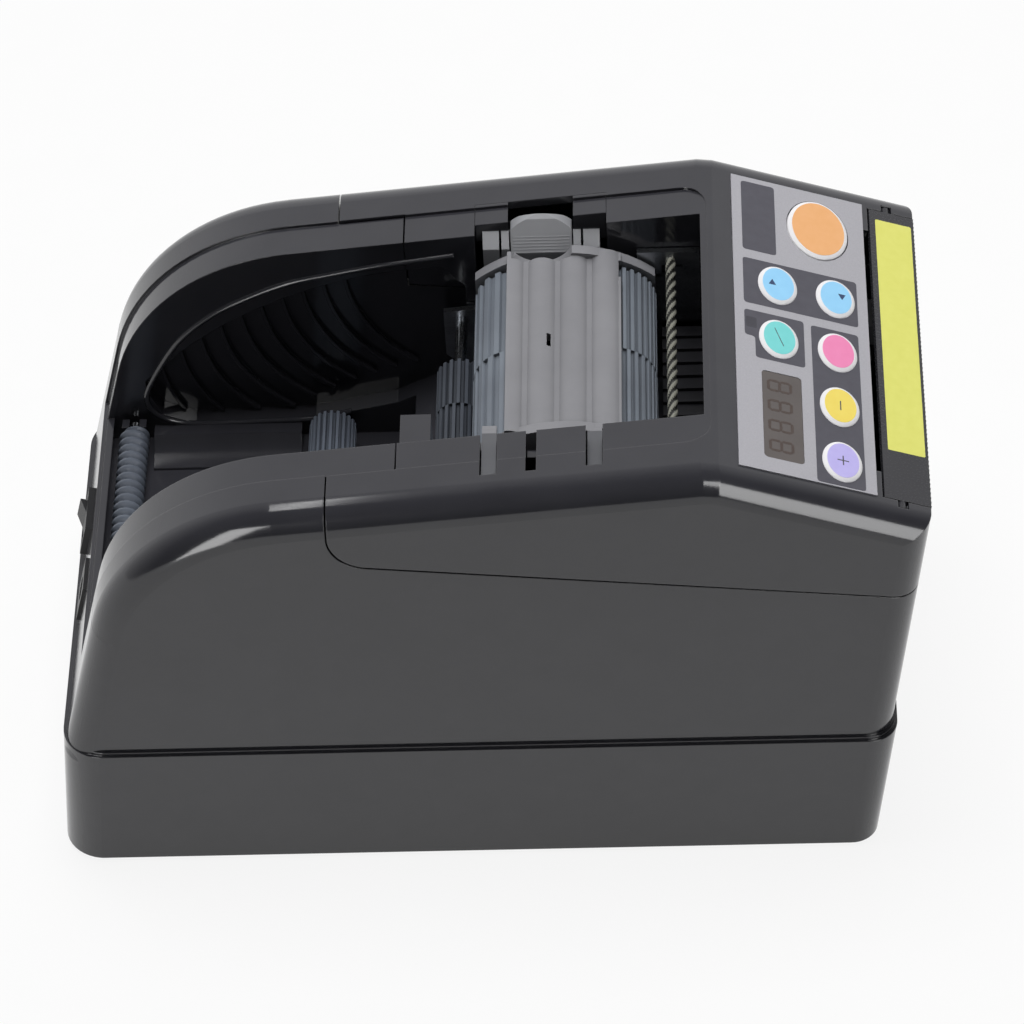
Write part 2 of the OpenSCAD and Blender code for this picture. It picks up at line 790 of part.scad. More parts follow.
module display_window() {
    color("#3a3833") on_panel(display_at)
        box([-display_len / 2 + 0.1, -display_w / 2 + 0.1, -1.6], [display_len / 2 - 0.1, display_w / 2 - 0.1, overlay_t - 0.1]);
}

module display_module() {
    color("#24231f") on_panel(display_at) difference() {
        box([-display_len / 2 + 0.3, -display_w / 2 + 0.6, -board_drop], [display_len / 2 - 0.3, display_w / 2 - 0.6, -1.6]);
        // Sunk strokes of the digits
        for (i = [-1.5 : 1 : 1.5]) translate([0, i * 7, -2]) {
            for (s = [-3, 0, 3]) box([s - 0.4, -1.4, 0], [s + 0.4, 1.4, 1]);
            for (s = [-1.5, 1.5], t = [-1.9, 1.9]) box([s - 1, t - 0.4, 0], [s + 1, t + 0.4, 1]);
        }
    }
}

module control_board() {
    color("#2f6b46") on_panel() difference() {
        box([overlay_start + 1, -overlay_y + 3, -board_drop - board_t], [overlay_end - 3, overlay_y - 3, -board_drop]);
        for (s = [4, overlay_len - 4.6], y = [-overlay_y + 6, overlay_y - 6])
            translate([overlay_start + s, y, -board_drop - 3]) cylinder(r = 1.1, h = 6);
    }
}

// Small push switch under a key
module tact(at) {
    on_panel(at) {
        box([-3, -3, -board_drop], [3, 3, -board_drop + tact_h - 0.7]);
        translate([0, 0, -board_drop + tact_h - 0.7 - eps]) cylinder(r = 1.7, h = 0.7);
    }
}

module tact_switches() {
    color("#1d1d1f") {
        tact(start_at);
        for (at = oval_keys) tact(at);
    }
}

// Oval key that slides in the panel: a low rim round a raised disc
module oval_key(at, r, tint) {
    top = overlay_t + key_proud;
    color(tint) on_panel(at) union() {
        oval(r, key_lip, -key_foot, -key_foot + key_lip);
        oval(r, 0, -key_foot + eps, overlay_t + key_rim);
        oval(r, -key_rim_w / 2, -key_foot + 1, overlay_t + (key_rim + key_proud) / 2);
        oval(r, -key_rim_w, -key_foot + 2, top);
        translate([0, 0, -key_foot - 0.3]) cylinder(r = 1.5, h = 0.4);
    }
}

module start_key() {
    oval_key(start_at, start_r, "#f0a35a");
}

module reverse_key() {
    oval_key(reverse_at, key_r, "#7cc4f4");
}

module forward_key() {
    oval_key(forward_at, key_r, "#7cc4f4");
}

module mode_key() {
    oval_key(mode_at, key_r, "#4ccfb3");
}

module select_key() {
    oval_key(select_at, key_r, "#ef5ba1");
}

module minus_key() {
    oval_key(minus_at, key_r, "#f0dc4e");
}

module plus_key() {
    oval_key(plus_at, key_r, "#c0b2ef");
}

module guard() {
    pitch = guard_y * 2 / guard_teeth;
    color("#333438") on_panel() difference() {
        union() {
            box([guard_start, -guard_y, -guard_t], [guard_end, guard_y, 0]);
            translate([guard_end, 0, 0]) rotate([0, front_lean - panel_fall, 0])
                box([-lip_t, -guard_y + 0.2, -guard_lip], [0, guard_y - 0.2, -0.4]);
            for (side = [-1, 1])
                translate([guard_start + hinge_in, side * (guard_y + hinge_out / 2 - 0.5), -hinge_drop]) rotate([90, 0, 0])
                cylinder(r = hinge_r, h = hinge_out + 1, center = true);
        }
        // Fine serrations along the front edge
        for (i = [0 : guard_teeth - 1])
            translate([guard_end, -guard_y + (i + 0.5) * pitch, -3]) rotate([0, 0, 45])
            cube([pitch * 0.45, pitch * 0.45, 8], center = true);
    }
}

// End flange with an arched top and bearing holes
module unit_flange(y0) {
    difference() {
        intersection() {
            across(head_x, arch_z, arch_r, y0, y0 + flange_t);
            box([head_x - 23, y0, up_z - 6.5], [head_x + 23, y0 + flange_t, big]);
        }
        across(up_rear_x, up_z, shaft_r + run_fit, y0 - 1, y0 + flange_t + 1);
        across(up_front_x, up_z, shaft_r + run_fit, y0 - 1, y0 + flange_t + 1);
    }
}

module roller_unit_frame() {
    pitch = shield_w / (flutes - 0.4);
    lobe = pitch * 0.62;
    x0 = head_x - shield_w / 2;
    x1 = head_x + shield_w / 2;
    color("#97989b") difference() {
        union() {
            unit_flange(-unit_y);
            unit_flange(unit_y - flange_t);
            box([x0, -unit_y + 1, shield_z], [x1, unit_y - 1, shield_z + shield_t]);
            // Convex flutes along the shield
            intersection() {
                union() {
                    for (i = [0 : flutes - 1])
                        across(x1 - (i + 0.5) * pitch, shield_z + shield_t + 1.3 - lobe, lobe, -unit_y + 1, unit_y - 1);
                }
                box([x0, -unit_y, shield_z], [x1, unit_y, big]);
            }
            for (side = [-1, 1])
                box([tab_x(side) - tab_w / 2, -bay_y - 13.6, tab_z], [tab_x(side) + tab_w / 2, -unit_y + 1, tab_z + 3.2]);
            // Roots that tie the tabs to the flange
            for (side = [-1, 1])
                box([tab_x(side) - tab_w / 2, -unit_y + 0.2, up_z + 2], [tab_x(side) + tab_w / 2, -unit_y + flange_t - 0.2, tab_z + 3]);
        }
        // Sight slot in the middle of the shield
        box([head_x - 4.2, -2.2, shield_z - 1], [head_x - 3.2, 2.2, big]);
        // Thumb hollow beside the latch
        translate([head_x - latch_back, unit_y, arch_z + arch_r + 3]) rotate([90, 0, 0]) cylinder(r = 8.5, h = flange_t * 2 + 1, center = true);
        // Slots that let the ribbed rollers show at the shield's edges
        for (x = [x0 - 0.5, x1 - 0.6]) box([x, unit_y - flange_t - 7, shield_z - 1], [x + 1.1, unit_y - flange_t - 1, shield_z + shield_t + 0.4]);
    }
}

// Rubber roller with lengthwise ribs, half of them offset by half a pitch
module ribbed_roller(x, z, r, ribs, y, bore) {
    step = 360 / ribs;
    difference() {
        union() {
            for (half = [0, 1])
                translate([x, half * y, z]) rotate([90, 0, 0]) rotate([0, 0, half * step / 2])
                linear_extrude(height = y) polygon([
                    for (i = [0 : ribs - 1], k = [[-0.29, rib_deep], [-0.21, 0], [0.21, 0], [0.29, rib_deep]])
                    (r - k[1]) * [cos((i + k[0]) * step), sin((i + k[0]) * step)]
                ]);
            across(x, z, r - rib_deep - 0.5, -y + 1, y - 1);
        }
        across(x, z, bore, -y - 1, y + 1);
    }
}

module upper_rear_roller() {
    color("#707782") ribbed_roller(up_rear_x, up_z, up_r, up_rear_ribs, roller_y, shaft_r);
}

module upper_rear_shaft() {
    color("#b9bbbf") across(up_rear_x, up_z, shaft_r, -unit_y - 0.4, unit_y + 0.4);
}

module upper_front_roller() {
    color("#707782") ribbed_roller(up_front_x, up_z, up_r, up_front_ribs, roller_y, shaft_r);
}

module upper_front_shaft() {
    color("#b9bbbf") across(up_front_x, up_z, shaft_r, -unit_y - 0.4, unit_y + 0.4);
}

// Latch on the far wall: a thumb pad that rocks on a pin
latch_y = bay_y + 4.8;
latch_z = up_z + 5;
latch_pin_r = 1.2;
ear_w = 6.8;

module latch() {
    x = head_x - latch_back;
    color("#75777c") difference() {
        union() {
            translate([x - latch_w / 2, 0, 0]) rotate([90, 0, 90]) linear_extrude(height = latch_w) polygon([
                [latch_y - 3.4, latch_z - 1.8], [latch_y + 1.2, latch_z - 2.6], [latch_y + 2.6, latch_z],
                [latch_y + 2.9, latch_z + 11.4], [latch_y + 2, latch_z + 13], [latch_y + 0.6, latch_z + 12.4],
                [latch_y - 3.6, latch_z + 4.4]
            ]);
            // Grip ridges on the lower part of the pad
            for (i = [0 : latch_ridges - 1]) {
                t = 0.6 + i * 0.9;
                translate([0, latch_y - 3.5 + t * 0.42, latch_z + 4 + t * 0.8]) rotate([0, 90, 0])
                    translate([0, 0, x - latch_w / 2 + 0.6]) cylinder(r = 0.32, h = latch_w - 1.2);
            }
        }
        translate([x - latch_w, latch_y, latch_z]) rotate([0, 90, 0]) cylinder(r = latch_pin_r + run_fit, h = latch_w * 2);
        // Arched top of the pad
        difference() {
            box([x - latch_w, bay_y, latch_z + 9], [x + latch_w, bay_y + 20, latch_z + 20]);
            translate([x, bay_y - 1, latch_z + 13 - latch_w * 0.72]) rotate([-90, 0, 0]) cylinder(r = latch_w * 0.72, h = 30);
        }
    }
}

module latch_block() {
    x = head_x - latch_back;
    color("#66686d") difference() {
        union() {
            for (side = [-1, 1])
                box([x + side * (latch_w / 2 + fit + ear_w / 2) - ear_w / 2, bay_y + 0.6, up_z + 1.5 + fit],
                    [x + side * (latch_w / 2 + fit + ear_w / 2) + ear_w / 2, latch_y + 3.4, latch_z + 6.4]);
            // Floor strip that ties the two ears under the latch
            box([x - latch_w / 2 - fit - ear_w, bay_y + 0.6, up_z + 1.5 + fit], [x + latch_w / 2 + fit + ear_w, latch_y + 3.4, latch_z - 2.9]);
        }
        translate([x - big / 2, latch_y, latch_z]) rotate([0, 90, 0]) cylinder(r = latch_pin_r, h = big);
        // Thin strips that frame the pad
        for (side = [-1, 1])
            box([x + side * (latch_w / 2 + 2.6) - 0.3, bay_y, latch_z + 1.6], [x + side * (latch_w / 2 + 2.6) + 0.3, latch_y + 5, latch_z + 9]);
    }
}

module latch_pin() {
    x = head_x - latch_back;
    reach = latch_w / 2 + fit + ear_w - 0.6;
    color("#b9bbbf") translate([x - reach, latch_y, latch_z]) rotate([0, 90, 0]) cylinder(r = latch_pin_r, h = reach * 2);
}

// Steel side plate of the feed mechanism
module side_plate(y0) {
    x0 = well_rear + 9;
    x1 = well_front - fit;
    top = up_z - 6.5 - fit;
    difference() {
        side_prism([
            [x0, entry_z - 12], [head_x - 21, well_floor + fit], [x1, well_floor + fit],
            [x1, top], [head_x - 22, top], [x0, entry_z + 3]
        ], y0, y0 + plate_t);
        for (x = [up_rear_x, up_front_x]) across(x, low_z, shaft_r + 2, y0 - 1, y0 + plate_t + 1);
        across(entry_x, entry_z, bay_shaft_r, y0 - 1, y0 + plate_t + 1);
        for (x = [head_x - 21.6, x1 - 4]) across(x, well_floor + 4.5, 1.6, y0 - 1, y0 + plate_t + 1);
        // Lightening window between the shafts
        across(head_x, low_z, 4, y0 - 1, y0 + plate_t + 1);
    }
}

// Ledge on a side plate that carries a flange of the roller unit
module unit_ledge(y0, y1) {
    box([head_x - 4.5, y0, up_z - 6.5 - fit - 2], [head_x + 4.5, y1, up_z - 6.5 - fit]);
}

module near_side_plate() {
    color("#8f9196") union() {
        side_plate(-plate_out);
        unit_ledge(-plate_in - 0.5, -plate_in + 3.4);
    }
}

// The far plate also carries the bracket with the stepped clip
module far_side_plate() {
    x1 = well_front - fit;
    color("#8f9196") union() {
        side_plate(plate_in);
        unit_ledge(plate_in - 3.4, plate_in + 0.5);
        difference() {
            box([x1 - 16, plate_in, up_z - 7], [x1, plate_out, up_z + 11.5]);
            // Stepped clip slot
            box([x1 - 13, plate_in - 1, up_z + 3], [x1 - 9, plate_out + 1, up_z + 4]);
            box([x1 - 9.8, plate_in - 1, up_z + 3], [x1 - 9, plate_out + 1, up_z + 7]);
            box([x1 - 9.8, plate_in - 1, up_z + 6.2], [x1 - 4.5, plate_out + 1, up_z + 7]);
            // Seat of the stripper rod
            across(rod_x, rod_z, rod_r * 0.6 + run_fit, plate_in - 1, plate_out + 1);
        }
    }
}

module plate_spacers() {
    x1 = well_front - fit;
    color("#a5a7ab") for (x = [head_x - 21.6, x1 - 4]) {
        across(x, well_floor + 4.5, 2.8, -plate_in, plate_in);
        across(x, well_floor + 4.5, 1.6, -plate_out, plate_out);
    }
}

module shaft_bushes() {
    color("#b08d4c") for (x = [up_rear_x, up_front_x], side = [-1, 1]) difference() {
        across(x, low_z, shaft_r + 2, side > 0 ? plate_in : -plate_out, side > 0 ? plate_out : -plate_in);
        across(x, low_z, shaft_r + run_fit, -big, big);
    }
}

// Ridged drum between the side plates
module lower_roller(x) {
    y = plate_in - 1.2;
    difference() {
        across(x, low_z, low_r, -y, y);
        across(x, low_z, shaft_r, -y - 1, y + 1);
        // Rings that keep the tape from sticking
        for (i = [-4 : 4]) translate([x, i * y / 4.6, low_z]) rotate([90, 0, 0]) rotate_extrude()
            translate([low_r + 0.4, 0]) circle(r = 1);
    }
}

module lower_front_roller() {
    color("#7b7f86") lower_roller(up_front_x);
}

module lower_front_shaft() {
    color("#b9bbbf") across(up_front_x, low_z, shaft_r, gear_y0 - 1, plate_out);
}

module lower_rear_roller() {
    color("#7b7f86") lower_roller(up_rear_x);
}

module lower_rear_shaft() {
    color("#b9bbbf") across(up_rear_x, low_z, shaft_r, -plate_out, plate_out);
}

// Spur gear with straight-flanked teeth; spin turns it to its place in the mesh
module spur_gear(x, z, teeth, bore, spin) {
    pitch_r = gear_m * teeth / 2;
    root_r = pitch_r - 1.15 * gear_m;
    tip_r = pitch_r + 0.85 * gear_m;
    step = 360 / teeth;
    translate([x, gear_y1, z]) rotate([90, 0, 0]) difference() {
        rotate([0, 0, spin]) linear_extrude(height = gear_w) polygon([
            for (i = [0 : teeth - 1], k = [[-0.34, root_r], [-0.225, pitch_r], [-0.11, tip_r], [0.11, tip_r], [0.225, pitch_r], [0.34, root_r]])
            k[1] * [cos((i + k[0]) * step), sin((i + k[0]) * step)]
        ]);
        translate([0, 0, -1]) cylinder(r = bore, h = gear_w + 2);
    }
}

// Directions in the gear plane, seen from the near side
to_idler = atan2(idler_z - low_z, idler_x - up_front_x);
from_idler = to_idler + 180;
to_pinion = -90;

module feed_gear() {
    color("#e6e4dc") spur_gear(up_front_x, low_z, feed_teeth, shaft_r, to_idler);
}

idler_spin = from_idler + 180 / idler_teeth;

module idler_gear() {
    color("#e6e4dc") spur_gear(idler_x, idler_z, idler_teeth, stud_r + run_fit, idler_spin);
}

module idler_stud() {
    color("#b9bbbf") union() {
        across(idler_x, idler_z, stud_r, gear_y0 - 1.4, bracket_y1);
        across(idler_x, idler_z, stud_r + 1.5, gear_y0 - 2.2, gear_y0 - 0.4);
    }
}

// Phase of the idler's teeth where it meets the pinion
pinion_phase = (to_pinion - idler_spin) * idler_teeth / 360;
pinion_spin = 90 + (0.5 + pinion_phase - floor(pinion_phase)) * 360 / pinion_teeth;

module motor_pinion() {
    color("#c8a14e") spur_gear(pinion_x, pinion_z, pinion_teeth, motor_shaft_r, pinion_spin);
}

module motor_shaft() {
    color("#b9bbbf") across(pinion_x, pinion_z, motor_shaft_r, gear_y0 - 0.5, bracket_y1 + motor_shaft_in - 0.5);
}

module feed_motor() {
    color("#9a9ca1") difference() {
        union() {
            across(pinion_x, pinion_z, feed_motor_r, bracket_y1, bracket_y1 + feed_motor_len);
            across(pinion_x, pinion_z, 4, bracket_y0, bracket_y1 + 1);
            across(pinion_x, pinion_z, feed_motor_r * 0.4, bracket_y1, bracket_y1 + feed_motor_len + 3);
        }
        // Shaft way
        across(pinion_x, pinion_z, motor_shaft_r + run_fit, bracket_y0 - 1, bracket_y1 + motor_shaft_in);
    }
}

module motor_bracket() {
    color("#8f9196") difference() {
        union() {
            box([pinion_x - bracket_w / 2, bracket_y0, base_z1], [pinion_x + bracket_w / 2, bracket_y1, well_floor - wall - fit]);
            box([pinion_x - bracket_w / 2, bracket_y0, base_z1], [pinion_x + bracket_w / 2, bracket_y1 + 14, base_z1 + bracket_t]);
        }
        across(pinion_x, pinion_z, 4 + run_fit, bracket_y0 - 1, bracket_y1 + 1);
        across(idler_x, idler_z, stud_r, bracket_y0 - 1, bracket_y1 + 1);
    }
}

module tape_guide() {
    x0 = up_front_x + low_r + 3.4;
    x1 = frame_x1 + 1;
    color("#3f4146") union() {
        box([x0, -unit_y + fit, tape_h - 4.2], [x1, unit_y - fit, tape_h - 2.2]);
        // Ribs that carry the tape
        for (i = [-6 : 6]) box([x0, i * unit_y / 6.9 - 0.5, tape_h - 2.4], [x1, i * unit_y / 6.9 + 0.5, tape_h - 1.2]);
    }
}

module cutter_frame() {
    color("#8f9196") difference() {
        union() {
            box([frame_x0, -22, base_z1], [frame_x1, 22, frame_bar_z1 + 22]);
            box([frame_x0 - 10, -22, base_z1], [frame_x1, 22, base_z1 + 1.8]);
            box([frame_x0, -blade_y - post_w, frame_bar_z0], [fixed_x0, blade_y + post_w, frame_bar_z1]);
            for (side = [-1, 1])
                box([post_x0, side > 0 ? blade_y - 2 : -blade_y - post_w, frame_bar_z0], [fixed_x0, side > 0 ? blade_y + post_w : -blade_y + 2, frame_top]);
        }
        // Guide grooves for the moving blade
        box([blade_x0 - blade_gap, -blade_y - fit, frame_bar_z1], [big, blade_y + fit, big]);
        // Way for the crank shaft
        translate([frame_x0 - 1, 0, crank_z]) rotate([0, 90, 0]) cylinder(r = crank_shaft_r + 0.6, h = 4);
    }
}

module lower_blade() {
    slot_z = crank_z + crank_throw * sin(crank_rest);
    foot_z = frame_bar_z1 + 0.6;
    color("#c3c5c9") difference() {
        // The edge slopes a little across the width, so that it shears
        translate([blade_x0, 0, 0]) rotate([90, 0, 90]) linear_extrude(height = blade_t) polygon([
            [-blade_y, blade_edge_z - 12], [-16, blade_edge_z - 30], [-16, foot_z], [16, foot_z], [16, blade_edge_z - 30],
            [blade_y, blade_edge_z - 12], [blade_y, blade_edge_z - 1.8], [-blade_y, blade_edge_z]
        ]);
        // Yoke slot for the crank pin
        box([blade_x0 - 1, -pin_r - 1, slot_z - pin_r - slot_fit], [blade_x1 + 1, crank_throw + pin_r + 1, slot_z + pin_r + slot_fit]);
        // Ground bevel behind the edge
        translate([blade_x0, 0, blade_edge_z]) rotate([0, 45, 0]) cube([1, blade_w + 2, 1], center = true);
    }
}

module upper_blade() {
    color("#c3c5c9") difference() {
        box([fixed_x0, -blade_y - post_w, tape_h + 1.2], [fixed_x1, blade_y + post_w, frame_top]);
        translate([fixed_x1, 0, tape_h + 1.2]) rotate([0, 45, 0]) cube([1, blade_w + 20, 1], center = true);
        for (side = [-1, 1])
            translate([fixed_x0 - 1, side * (blade_y + 2), frame_top - 5]) rotate([0, 90, 0]) cylinder(r = 1.6, h = 5);
    }
}

module cutter_crank() {
    color("#a5a7ab") union() {
        translate([crank_x0, 0, crank_z]) rotate([0, 90, 0]) cylinder(r = crank_r, h = crank_x1 - crank_x0);
        translate([frame_x0 - crank_in, 0, crank_z]) rotate([0, 90, 0]) cylinder(r = crank_shaft_r, h = crank_x1 - frame_x0 + crank_in);
        translate([crank_x1 - eps, crank_throw * cos(crank_rest), crank_z + crank_throw * sin(crank_rest)]) rotate([0, 90, 0])
            cylinder(r = pin_r, h = blade_x1 - crank_x1 + 0.1);
    }
}

module cutter_motor() {
    color("#9a9ca1") difference() {
        union() {
            translate([frame_x0 - cut_motor_len, 0, crank_z]) rotate([0, 90, 0]) cylinder(r = cut_motor_r, h = cut_motor_len - 0.3);
            translate([frame_x0 - cut_motor_len - 2, 0, crank_z]) rotate([0, 90, 0]) cylinder(r = 4, h = 3);
            for (side = [-1, 1])
                box([frame_x0 - 1.5, side * 13 - 4, crank_z - 4], [frame_x0, side * 13 + 4, crank_z + 4]);
        }
        translate([frame_x0 - crank_in - 0.5, 0, crank_z]) rotate([0, 90, 0]) cylinder(r = crank_shaft_r + run_fit, h = crank_in + 2);
    }
}

module tape_sensor() {
    color("#1d1d1f") union() {
        box([fixed_x1, 16, tape_h + 6], [fixed_x1 + 3.4, 26, frame_top - 3.5]);
        box([fixed_x1, 19, tape_h + 3.5], [fixed_x1 + 2, 23, tape_h + 6]);
    }
}

// Twisted rod that strips the tape from the front roller
rod_x = ridge_x - 8.85;
rod_z = up_z + 9.3;
rod_r = 1.35;

module spiral_rod() {
    turns = 5;
    color("#6d6a5e") union() {
        translate([rod_x, plate_in - 1, rod_z]) rotate([90, 0, 0])
            linear_extrude(height = plate_in * 2 - 2, twist = 360 * turns, slices = turns * 10) polygon([
                for (a = [0 : 20 : 340]) rod_r * (0.86 + 0.14 * cos(3 * a)) * [cos(a), sin(a)]
            ]);
        across(rod_x, rod_z, rod_r * 0.6, -bay_y, bay_y);
    }
}

module entry_roller() {
    mid = (entry_y0 + entry_y1) / 2;
    color("#5f656f") translate([0, mid, 0]) ribbed_roller(entry_x, entry_z, entry_r, 18, (entry_y1 - entry_y0) / 2, bay_shaft_r + run_fit);
}

module entry_shaft() {
    color("#b9bbbf") across(entry_x, entry_z, bay_shaft_r, -plate_out, plate_out);
}

module cradle_roller() {
    color("#5f656f") ribbed_roller(cradle_x, cradle_z, cradle_r, 22, bay_roller_y, bay_shaft_r);
}

module cradle_shaft() {
    color("#b9bbbf") across(cradle_x, cradle_z, bay_shaft_r, -post_y0 - post_t, post_y0 + post_t);
}

module rear_roller() {
    ridges = floor(bay_roller_y * 2 / rear_ridge_pitch);
    color("#5a6470") difference() {
        union() {
            across(rear_roller_x, rear_roller_z, rear_roller_r - 0.8, -bay_roller_y, bay_roller_y);
            for (i = [0 : ridges - 1])
                translate([rear_roller_x, -bay_roller_y + (i + 0.5) * rear_ridge_pitch, rear_roller_z]) rotate([90, 0, 0])
                rotate_extrude() translate([rear_roller_r - 0.9, 0]) circle(r = 0.9);
        }
        across(rear_roller_x, rear_roller_z, bay_shaft_r, -bay_y, bay_y);
    }
}

module rear_shaft() {
    color("#b9bbbf") across(rear_roller_x, rear_roller_z, bay_shaft_r, -post_y0 - post_t, post_y0 + post_t);
}

module switch_body() {
    color("#1b1c1e") on_rear(switch_y, switch_z) difference() {
        union() {
            box([-1.6, -switch_w / 2, -switch_h / 2], [0, switch_w / 2, switch_h / 2]);
            box([-eps, -switch_w / 2 + 1.2, -switch_h / 2 + 1], [12, switch_w / 2 - 1.2, switch_h / 2 - 1]);
        }
        box([-2, -switch_w / 2 + 1.6, -switch_h / 2 + 1.6], [5, switch_w / 2 - 1.6, switch_h / 2 - 1.6]);
        translate([rocker_in, 0, -switch_h / 2 + 1.05]) cylinder(r = rocker_pin_r + run_fit, h = switch_h - 2.1);
    }
}

module switch_rocker() {
    half = switch_w / 2 - 2.8;
    color("#232427") on_rear(switch_y, switch_z) union() {
        translate([0, 0, -switch_h / 2 + 1.9]) linear_extrude(height = switch_h - 3.8) polygon([
            [2.4, 0], [0.4, -half], [-1, -half], [-1.6, 0], [-3.4, half], [-2.2, half]
        ]);
        translate([rocker_in, 0, -switch_h / 2 + 1.15]) cylinder(r = rocker_pin_r, h = switch_h - 2.3);
    }
}

module dc_jack() {
    color("#1b1c1e") on_rear(jack_y, switch_z) union() {
        difference() {
            union() {
                box([-0.8, -5.6, -6], [0, 5.6, 6]);
                box([-eps, -4.6, -5], [12, 4.6, 5]);
            }
            translate([-2, 0, 0]) rotate([0, 90, 0]) cylinder(r = jack_r, h = 11);
        }
        translate([0, 0, 0]) rotate([0, 90, 0]) cylinder(r = jack_pin_r, h = 9.5);
    }
}

module main_board() {
    x0 = rear_x + board_in;
    x1 = x0 + board_len;
    color("#2f6b46") union() {
        difference() {
            box([x0, -board_y, base_z1 + 5], [x1, board_y, base_z1 + 6.6]);
            for (x = [x0 + 4, x1 - 4], y = [4 - board_y, board_y - 4]) translate([x, y, base_z1]) cylinder(r = 1.5, h = 20);
        }
        for (x = [x0 + 4, x1 - 4], y = [4 - board_y, board_y - 4]) translate([x, y, base_z1]) cylinder(r = 3, h = 5);
        translate([x0 + 20, 18, base_z1 + 6]) cylinder(r = 6, h = 18);
        translate([x0 + 36, 20, base_z1 + 6]) cylinder(r = 5, h = 14);
        box([x0 + 50, -26, base_z1 + 6], [x0 + 54, 10, base_z1 + 26]);
        box([x0 + 8, -28, base_z1 + 6], [x0 + 28, -8, base_z1 + 16]);
    }
}

lower_housing();
head_cover();
base_plate();
rubber_feet();
base_screws();
panel_overlay();
display_window();
display_module();
control_board();
tact_switches();
start_key();
reverse_key();
forward_key();
mode_key();
select_key();
minus_key();
plus_key();
guard();
roller_unit_frame();
upper_rear_roller();
upper_rear_shaft();
upper_front_roller();
upper_front_shaft();
latch();
latch_block();
latch_pin();
near_side_plate();
far_side_plate();
plate_spacers();
shaft_bushes();
lower_front_roller();
lower_front_shaft();
lower_rear_roller();
lower_rear_shaft();
feed_gear();
idler_gear();
idler_stud();
motor_pinion();
motor_shaft();
feed_motor();
motor_bracket();
tape_guide();
cutter_frame();
lower_blade();
upper_blade();
cutter_crank();
cutter_motor();
tape_sensor();
spiral_rod();
entry_roller();
entry_shaft();
cradle_roller();
cradle_shaft();
rear_roller();
rear_shaft();
switch_body();
switch_rocker();
dc_jack();
main_board();
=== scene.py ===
# %% [markdown]
# # An electric tape dispenser, dressed for a photograph
# The construction already exists: every piece was drawn at its true size and packed as a
# set of named nodes, grouped into bodies that move. This lesson loads that set as a fixed
# frame and builds the looks around it: softened mouldings, printed panel, rubber, steel,
# light and camera. Nothing in the frame is moved, so a joint that turns in the physics
# model turns the same pieces here.

# %% Load the frame
import json
import math

import bmesh
import bpy
from mathutils import Matrix, Vector


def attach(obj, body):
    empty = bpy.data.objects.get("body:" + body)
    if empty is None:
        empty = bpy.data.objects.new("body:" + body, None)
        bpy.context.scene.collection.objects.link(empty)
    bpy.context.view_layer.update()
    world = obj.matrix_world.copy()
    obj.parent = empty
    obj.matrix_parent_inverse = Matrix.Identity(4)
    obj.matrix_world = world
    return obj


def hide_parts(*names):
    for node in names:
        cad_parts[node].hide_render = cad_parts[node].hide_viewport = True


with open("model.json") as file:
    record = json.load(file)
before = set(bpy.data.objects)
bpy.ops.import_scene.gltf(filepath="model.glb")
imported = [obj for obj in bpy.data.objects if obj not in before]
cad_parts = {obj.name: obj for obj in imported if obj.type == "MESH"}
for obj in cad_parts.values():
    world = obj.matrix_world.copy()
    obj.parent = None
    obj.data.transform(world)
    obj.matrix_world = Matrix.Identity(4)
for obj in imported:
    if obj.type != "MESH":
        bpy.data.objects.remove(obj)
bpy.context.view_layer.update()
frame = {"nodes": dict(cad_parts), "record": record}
nodes = frame["nodes"]
scene = bpy.context.scene
body_of_node = {}
for body, members in frame["record"]["behaviour"]["bodies"].items():
    body_of_node.update({node: body for node in members})
MM = 0.001

# %% [markdown]
# Materials are small node trees. Two helpers keep them readable: one turns a colour,
# written as a hex code in sRGB, into the linear numbers that a shader
# works with; the other adds a node, sets its properties and fills or links its sockets.

# %% Colour and node helpers
def linear(code):
    """A hex colour such as '#a9a8ae' as linear RGBA."""
    parts = [int(code[i:i + 2], 16) / 255 for i in (1, 3, 5)]
    return [c / 12.92 if c <= 0.04045 else ((c + 0.055) / 1.055) ** 2.4 for c in parts] + [1.0]


def grey(level):
    """A linear grey as RGBA, for a ramp that carries a plain number."""
    return [level] * 3 + [1.0]


def add(tree, kind, sockets=None, stops=None, **settings):
    """Adds a shader node; a socket given as a value is linked, and stops fill a colour ramp."""
    made = tree.nodes.new(kind)
    for key, value in settings.items():
        setattr(made, key, value)
    for key, value in (sockets or {}).items():
        if isinstance(value, bpy.types.NodeSocket):
            tree.links.new(value, made.inputs[key])
        else:
            made.inputs[key].default_value = value
    for mark, stop in (zip(made.color_ramp.elements, stops) if stops else ()):
        mark.position, mark.color = stop
    return made


print("charcoal is", [round(c, 4) for c in linear("#3a3a3d")])

# %% [markdown]
# Almost everything on this machine is a moulded or coated surface: a colour that drifts
# very slightly, a sheen that varies with it, and a grain far too fine to model. So one
# function makes all of them. The pattern sizes are real millimetres, because object
# coordinates are metres here. The optional rounding lets the shader soften a moulding's
# sharp edges over a fraction of a millimetre, as a real tool leaves them, which is far
# more robust than bevelling a housing with hundreds of pockets. The optional crevice
# paints shade into what lies in a groove on ribs and flutes, darker the more closed in it is.

# %% The surface maker
SOFT_START, SOFT_END = 0.3, 0.7
OPEN_START, OPEN_END = 0.45, 0.95


